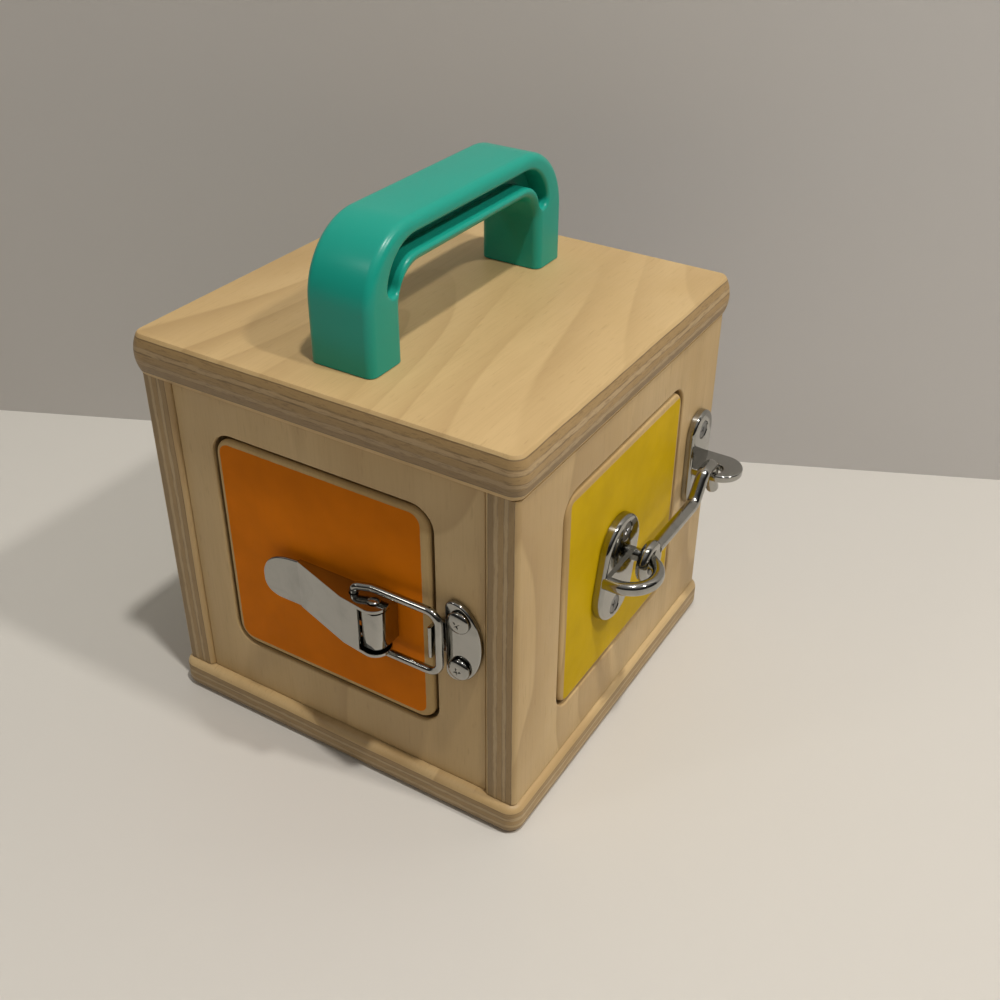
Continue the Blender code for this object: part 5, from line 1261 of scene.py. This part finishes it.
def build_back_fittings():
    low, high = node_on_side("turn_button", BACK)
    size = high - low
    button = rounded_slab(size[0], size[1], size[0] / 2 - HOLE_GAP / 10, size[2], BUTTON_EDGE, BUTTON_EDGE)
    button = shifted(button, ((low[0] + high[0]) / 2, (low[1] + high[1]) / 2, low[2]))
    new_piece("turn_button_bar", on_side(BACK, button), "turn_button", BUTTON_WOOD)
    screw("turn_button_screw", BACK, LARGE_HEAD_RADIUS, LARGE_HEAD, 40, CHROME)
    low, high = node_on_side("back_knob", BACK)
    radius, height = (high[0] - low[0]) / 2, high[2] - low[2]
    shares = smooth_profile(list(zip(KNOB_RADIUS_SHARES, KNOB_HEIGHT_SHARES)))
    profile = [(radius * min(across, 1.0), height * min(max(up, 0.0), 1.0)) for across, up in shares]
    centre = ((low[0] + high[0]) / 2, (low[1] + high[1]) / 2, low[2])
    new_piece("back_knob_turned", on_side(BACK, shifted(lathe(profile), centre)), "back_knob", KNOB_WOOD)


# Stage, lights and camera


def camera_matrix():
    """The camera's place and directions, from its fitted turn, pitch and roll."""
    turn, pitch, roll = (math.radians(a) for a in (CAMERA_TURN, CAMERA_PITCH, CAMERA_ROLL))
    right = Vector((math.cos(turn), math.sin(turn), 0.0))
    back = Vector((math.sin(turn) * math.cos(pitch), -math.cos(turn) * math.cos(pitch), math.sin(pitch)))
    up = back.cross(right)
    across = right * math.cos(roll) + up * math.sin(roll)
    above = up * math.cos(roll) - right * math.sin(roll)
    matrix = Matrix((across, above, back)).transposed().to_4x4()
    matrix.translation = Vector(CAMERA_PLACE) * MM
    return matrix


def build_camera():
    camera = bpy.data.objects.new("camera", bpy.data.cameras.new("camera"))
    bpy.context.scene.collection.objects.link(camera)
    camera.matrix_world = camera_matrix()
    camera.data.sensor_width = SENSOR
    camera.data.sensor_fit = "HORIZONTAL"
    camera.data.lens = FOCAL_PIXELS / IMAGE_PIXELS * SENSOR
    camera.data.shift_x = (IMAGE_PIXELS / 2 - CENTRE_PIXEL_X) / IMAGE_PIXELS
    camera.data.shift_y = (CENTRE_PIXEL_Y - IMAGE_PIXELS / 2) / IMAGE_PIXELS
    camera.data.clip_start = 0.01
    bpy.context.scene.camera = camera


def floor_point(pixel):
    """Where the line of sight through a pixel meets the floor."""
    matrix = camera_matrix()
    direction = Vector(((pixel[0] - CENTRE_PIXEL_X) / FOCAL_PIXELS, (CENTRE_PIXEL_Y - pixel[1]) / FOCAL_PIXELS, -1.0))
    direction = matrix.to_3x3() @ direction
    start = matrix.translation
    return start - direction * (start.z / direction.z)


def stage_material(name, left, right, roughness):
    """A plain sheet, darker at the left of the box and lighter at the right as painted light falloff from the lamps
    on the right, with faint clouds.
    """
    material, tree, shader = new_material(name)
    place = object_place(tree)
    # across runs from the left of the box to the right; the colour ramp along it is painted light falloff, not a
    # change in the sheet's own colour.
    across = window(tree, put(tree, "ShaderNodeSeparateXYZ", {0: place}).outputs[0], -STAGE_HALF, STAGE_HALF)
    colour = blend(tree, across, left, right)
    cloud = calc(tree, "MULTIPLY", noise(tree, place, 3.0, 3.0, 0.5), STAGE_CLOUD)
    tree.links.new(blend(tree, cloud, colour, (0.0, 0.0, 0.0)), shader.inputs["Base Color"])
    shader.inputs["Roughness"].default_value = roughness
    bumped(tree, shader, noise(tree, place, 700.0, 3.0), 0.08, 0.0002)
    return material


def clear_from_behind(material):
    """A sheet that only has a front, so that it hides nothing from the other side."""
    tree = material.node_tree
    shader = tree.nodes["Principled BSDF"]
    output = tree.nodes["Material Output"]
    clear = put(tree, "ShaderNodeBsdfTransparent").outputs[0]
    back = put(tree, "ShaderNodeNewGeometry").outputs["Backfacing"]
    sheet = put(tree, "ShaderNodeMixShader", {0: back, 1: shader.outputs[0], 2: clear}).outputs[0]
    tree.links.new(sheet, output.inputs["Surface"])


FLOOR_SPAN = 6.0
STAGE_HALF = 0.55
STAGE_CLOUD = 0.03
FLOOR_DROP = 0.0001
WALL_HEIGHT = 3.0
LAMPS = (("lamp_above", (0.52, -0.25, 1.84), 0.10, 15.8), ("lamp_right", (1.25, 0.07, 1.64), 0.12, 13.2),
         ("lamp_front", (-0.82, -1.32, 1.44), 0.30, 1.85))
LAMP_COLOUR = (1.0, 0.97, 0.93)
ROOM_LOW = (0.030, 0.029, 0.028)
ROOM_HIGH = (0.37, 0.361, 0.352)
ROOM_LOW_SINE = 0.35
ROOM_HIGH_SINE = 0.90


def flat_sheet(name, corners, material):
    mesh = bpy.data.meshes.new(name)
    mesh.from_pydata([tuple(c) for c in corners], [], [(0, 1, 2, 3)])
    mesh.materials.append(material)
    obj = bpy.data.objects.new(name, mesh)
    bpy.context.scene.collection.objects.link(obj)


def build_stage():
    half = FLOOR_SPAN / 2
    drop = -FLOOR_DROP
    corners = [(-half, -half, drop), (half, -half, drop), (half, half, drop), (-half, half, drop)]
    # The floor's left and right colours paint light falloff: it is lighter towards the lamps on the right.
    flat_sheet("floor", corners, stage_material("floor_white", (0.630, 0.608, 0.558), (0.655, 0.625, 0.573), 0.45))
    left, right = floor_point(HORIZON_LEFT_PIXEL), floor_point(HORIZON_RIGHT_PIXEL)
    along = (right - left).normalized() * half
    middle = (left + right) / 2
    feet = [middle - along, middle + along]
    rise = Vector((0, 0, WALL_HEIGHT))
    corners = [feet[0], feet[1], feet[1] + rise, feet[0] + rise]
    # The backdrop's left and right colours paint light falloff: darker at the left, lighter towards the lamps on the
    # right.
    grey = stage_material("backdrop_grey", (0.535, 0.505, 0.470), (0.655, 0.635, 0.612), 0.8)
    clear_from_behind(grey)
    flat_sheet("backdrop", corners, grey)


def area_light(name, place, size, power, colour):
    light = bpy.data.lights.new(name, "AREA")
    light.shape = "DISK"
    light.size = size
    light.energy = power
    light.color = colour
    obj = bpy.data.objects.new(name, light)
    obj.location = place
    obj.rotation_euler = (Vector((0, 0, 0.08)) - Vector(place)).to_track_quat("-Z", "Y").to_euler()
    bpy.context.scene.collection.objects.link(obj)


def build_lights():
    for name, place, size, power in LAMPS:
        area_light(name, place, size, power, LAMP_COLOUR)
    world = bpy.data.worlds.new("room")
    world.use_nodes = True
    tree = world.node_tree
    direction = put(tree, "ShaderNodeTexCoord").outputs["Generated"]
    up = put(tree, "ShaderNodeSeparateXYZ", {0: direction}).outputs[2]
    colour = blend(tree, window(tree, up, ROOM_LOW_SINE, ROOM_HIGH_SINE), ROOM_LOW, ROOM_HIGH)
    tree.links.new(colour, tree.nodes["Background"].inputs["Color"])
    bpy.context.scene.world = world
    bpy.context.scene.view_settings.view_transform = "Standard"


build_boards()
build_walls()
build_doors()
build_dividers()
build_handle()
build_draw_latch()
build_draw_keeper()
build_hook_base()
build_hook()
build_hook_keeper()
build_barrel_bolt()
build_back_fittings()
build_camera()
build_stage()
build_lights()
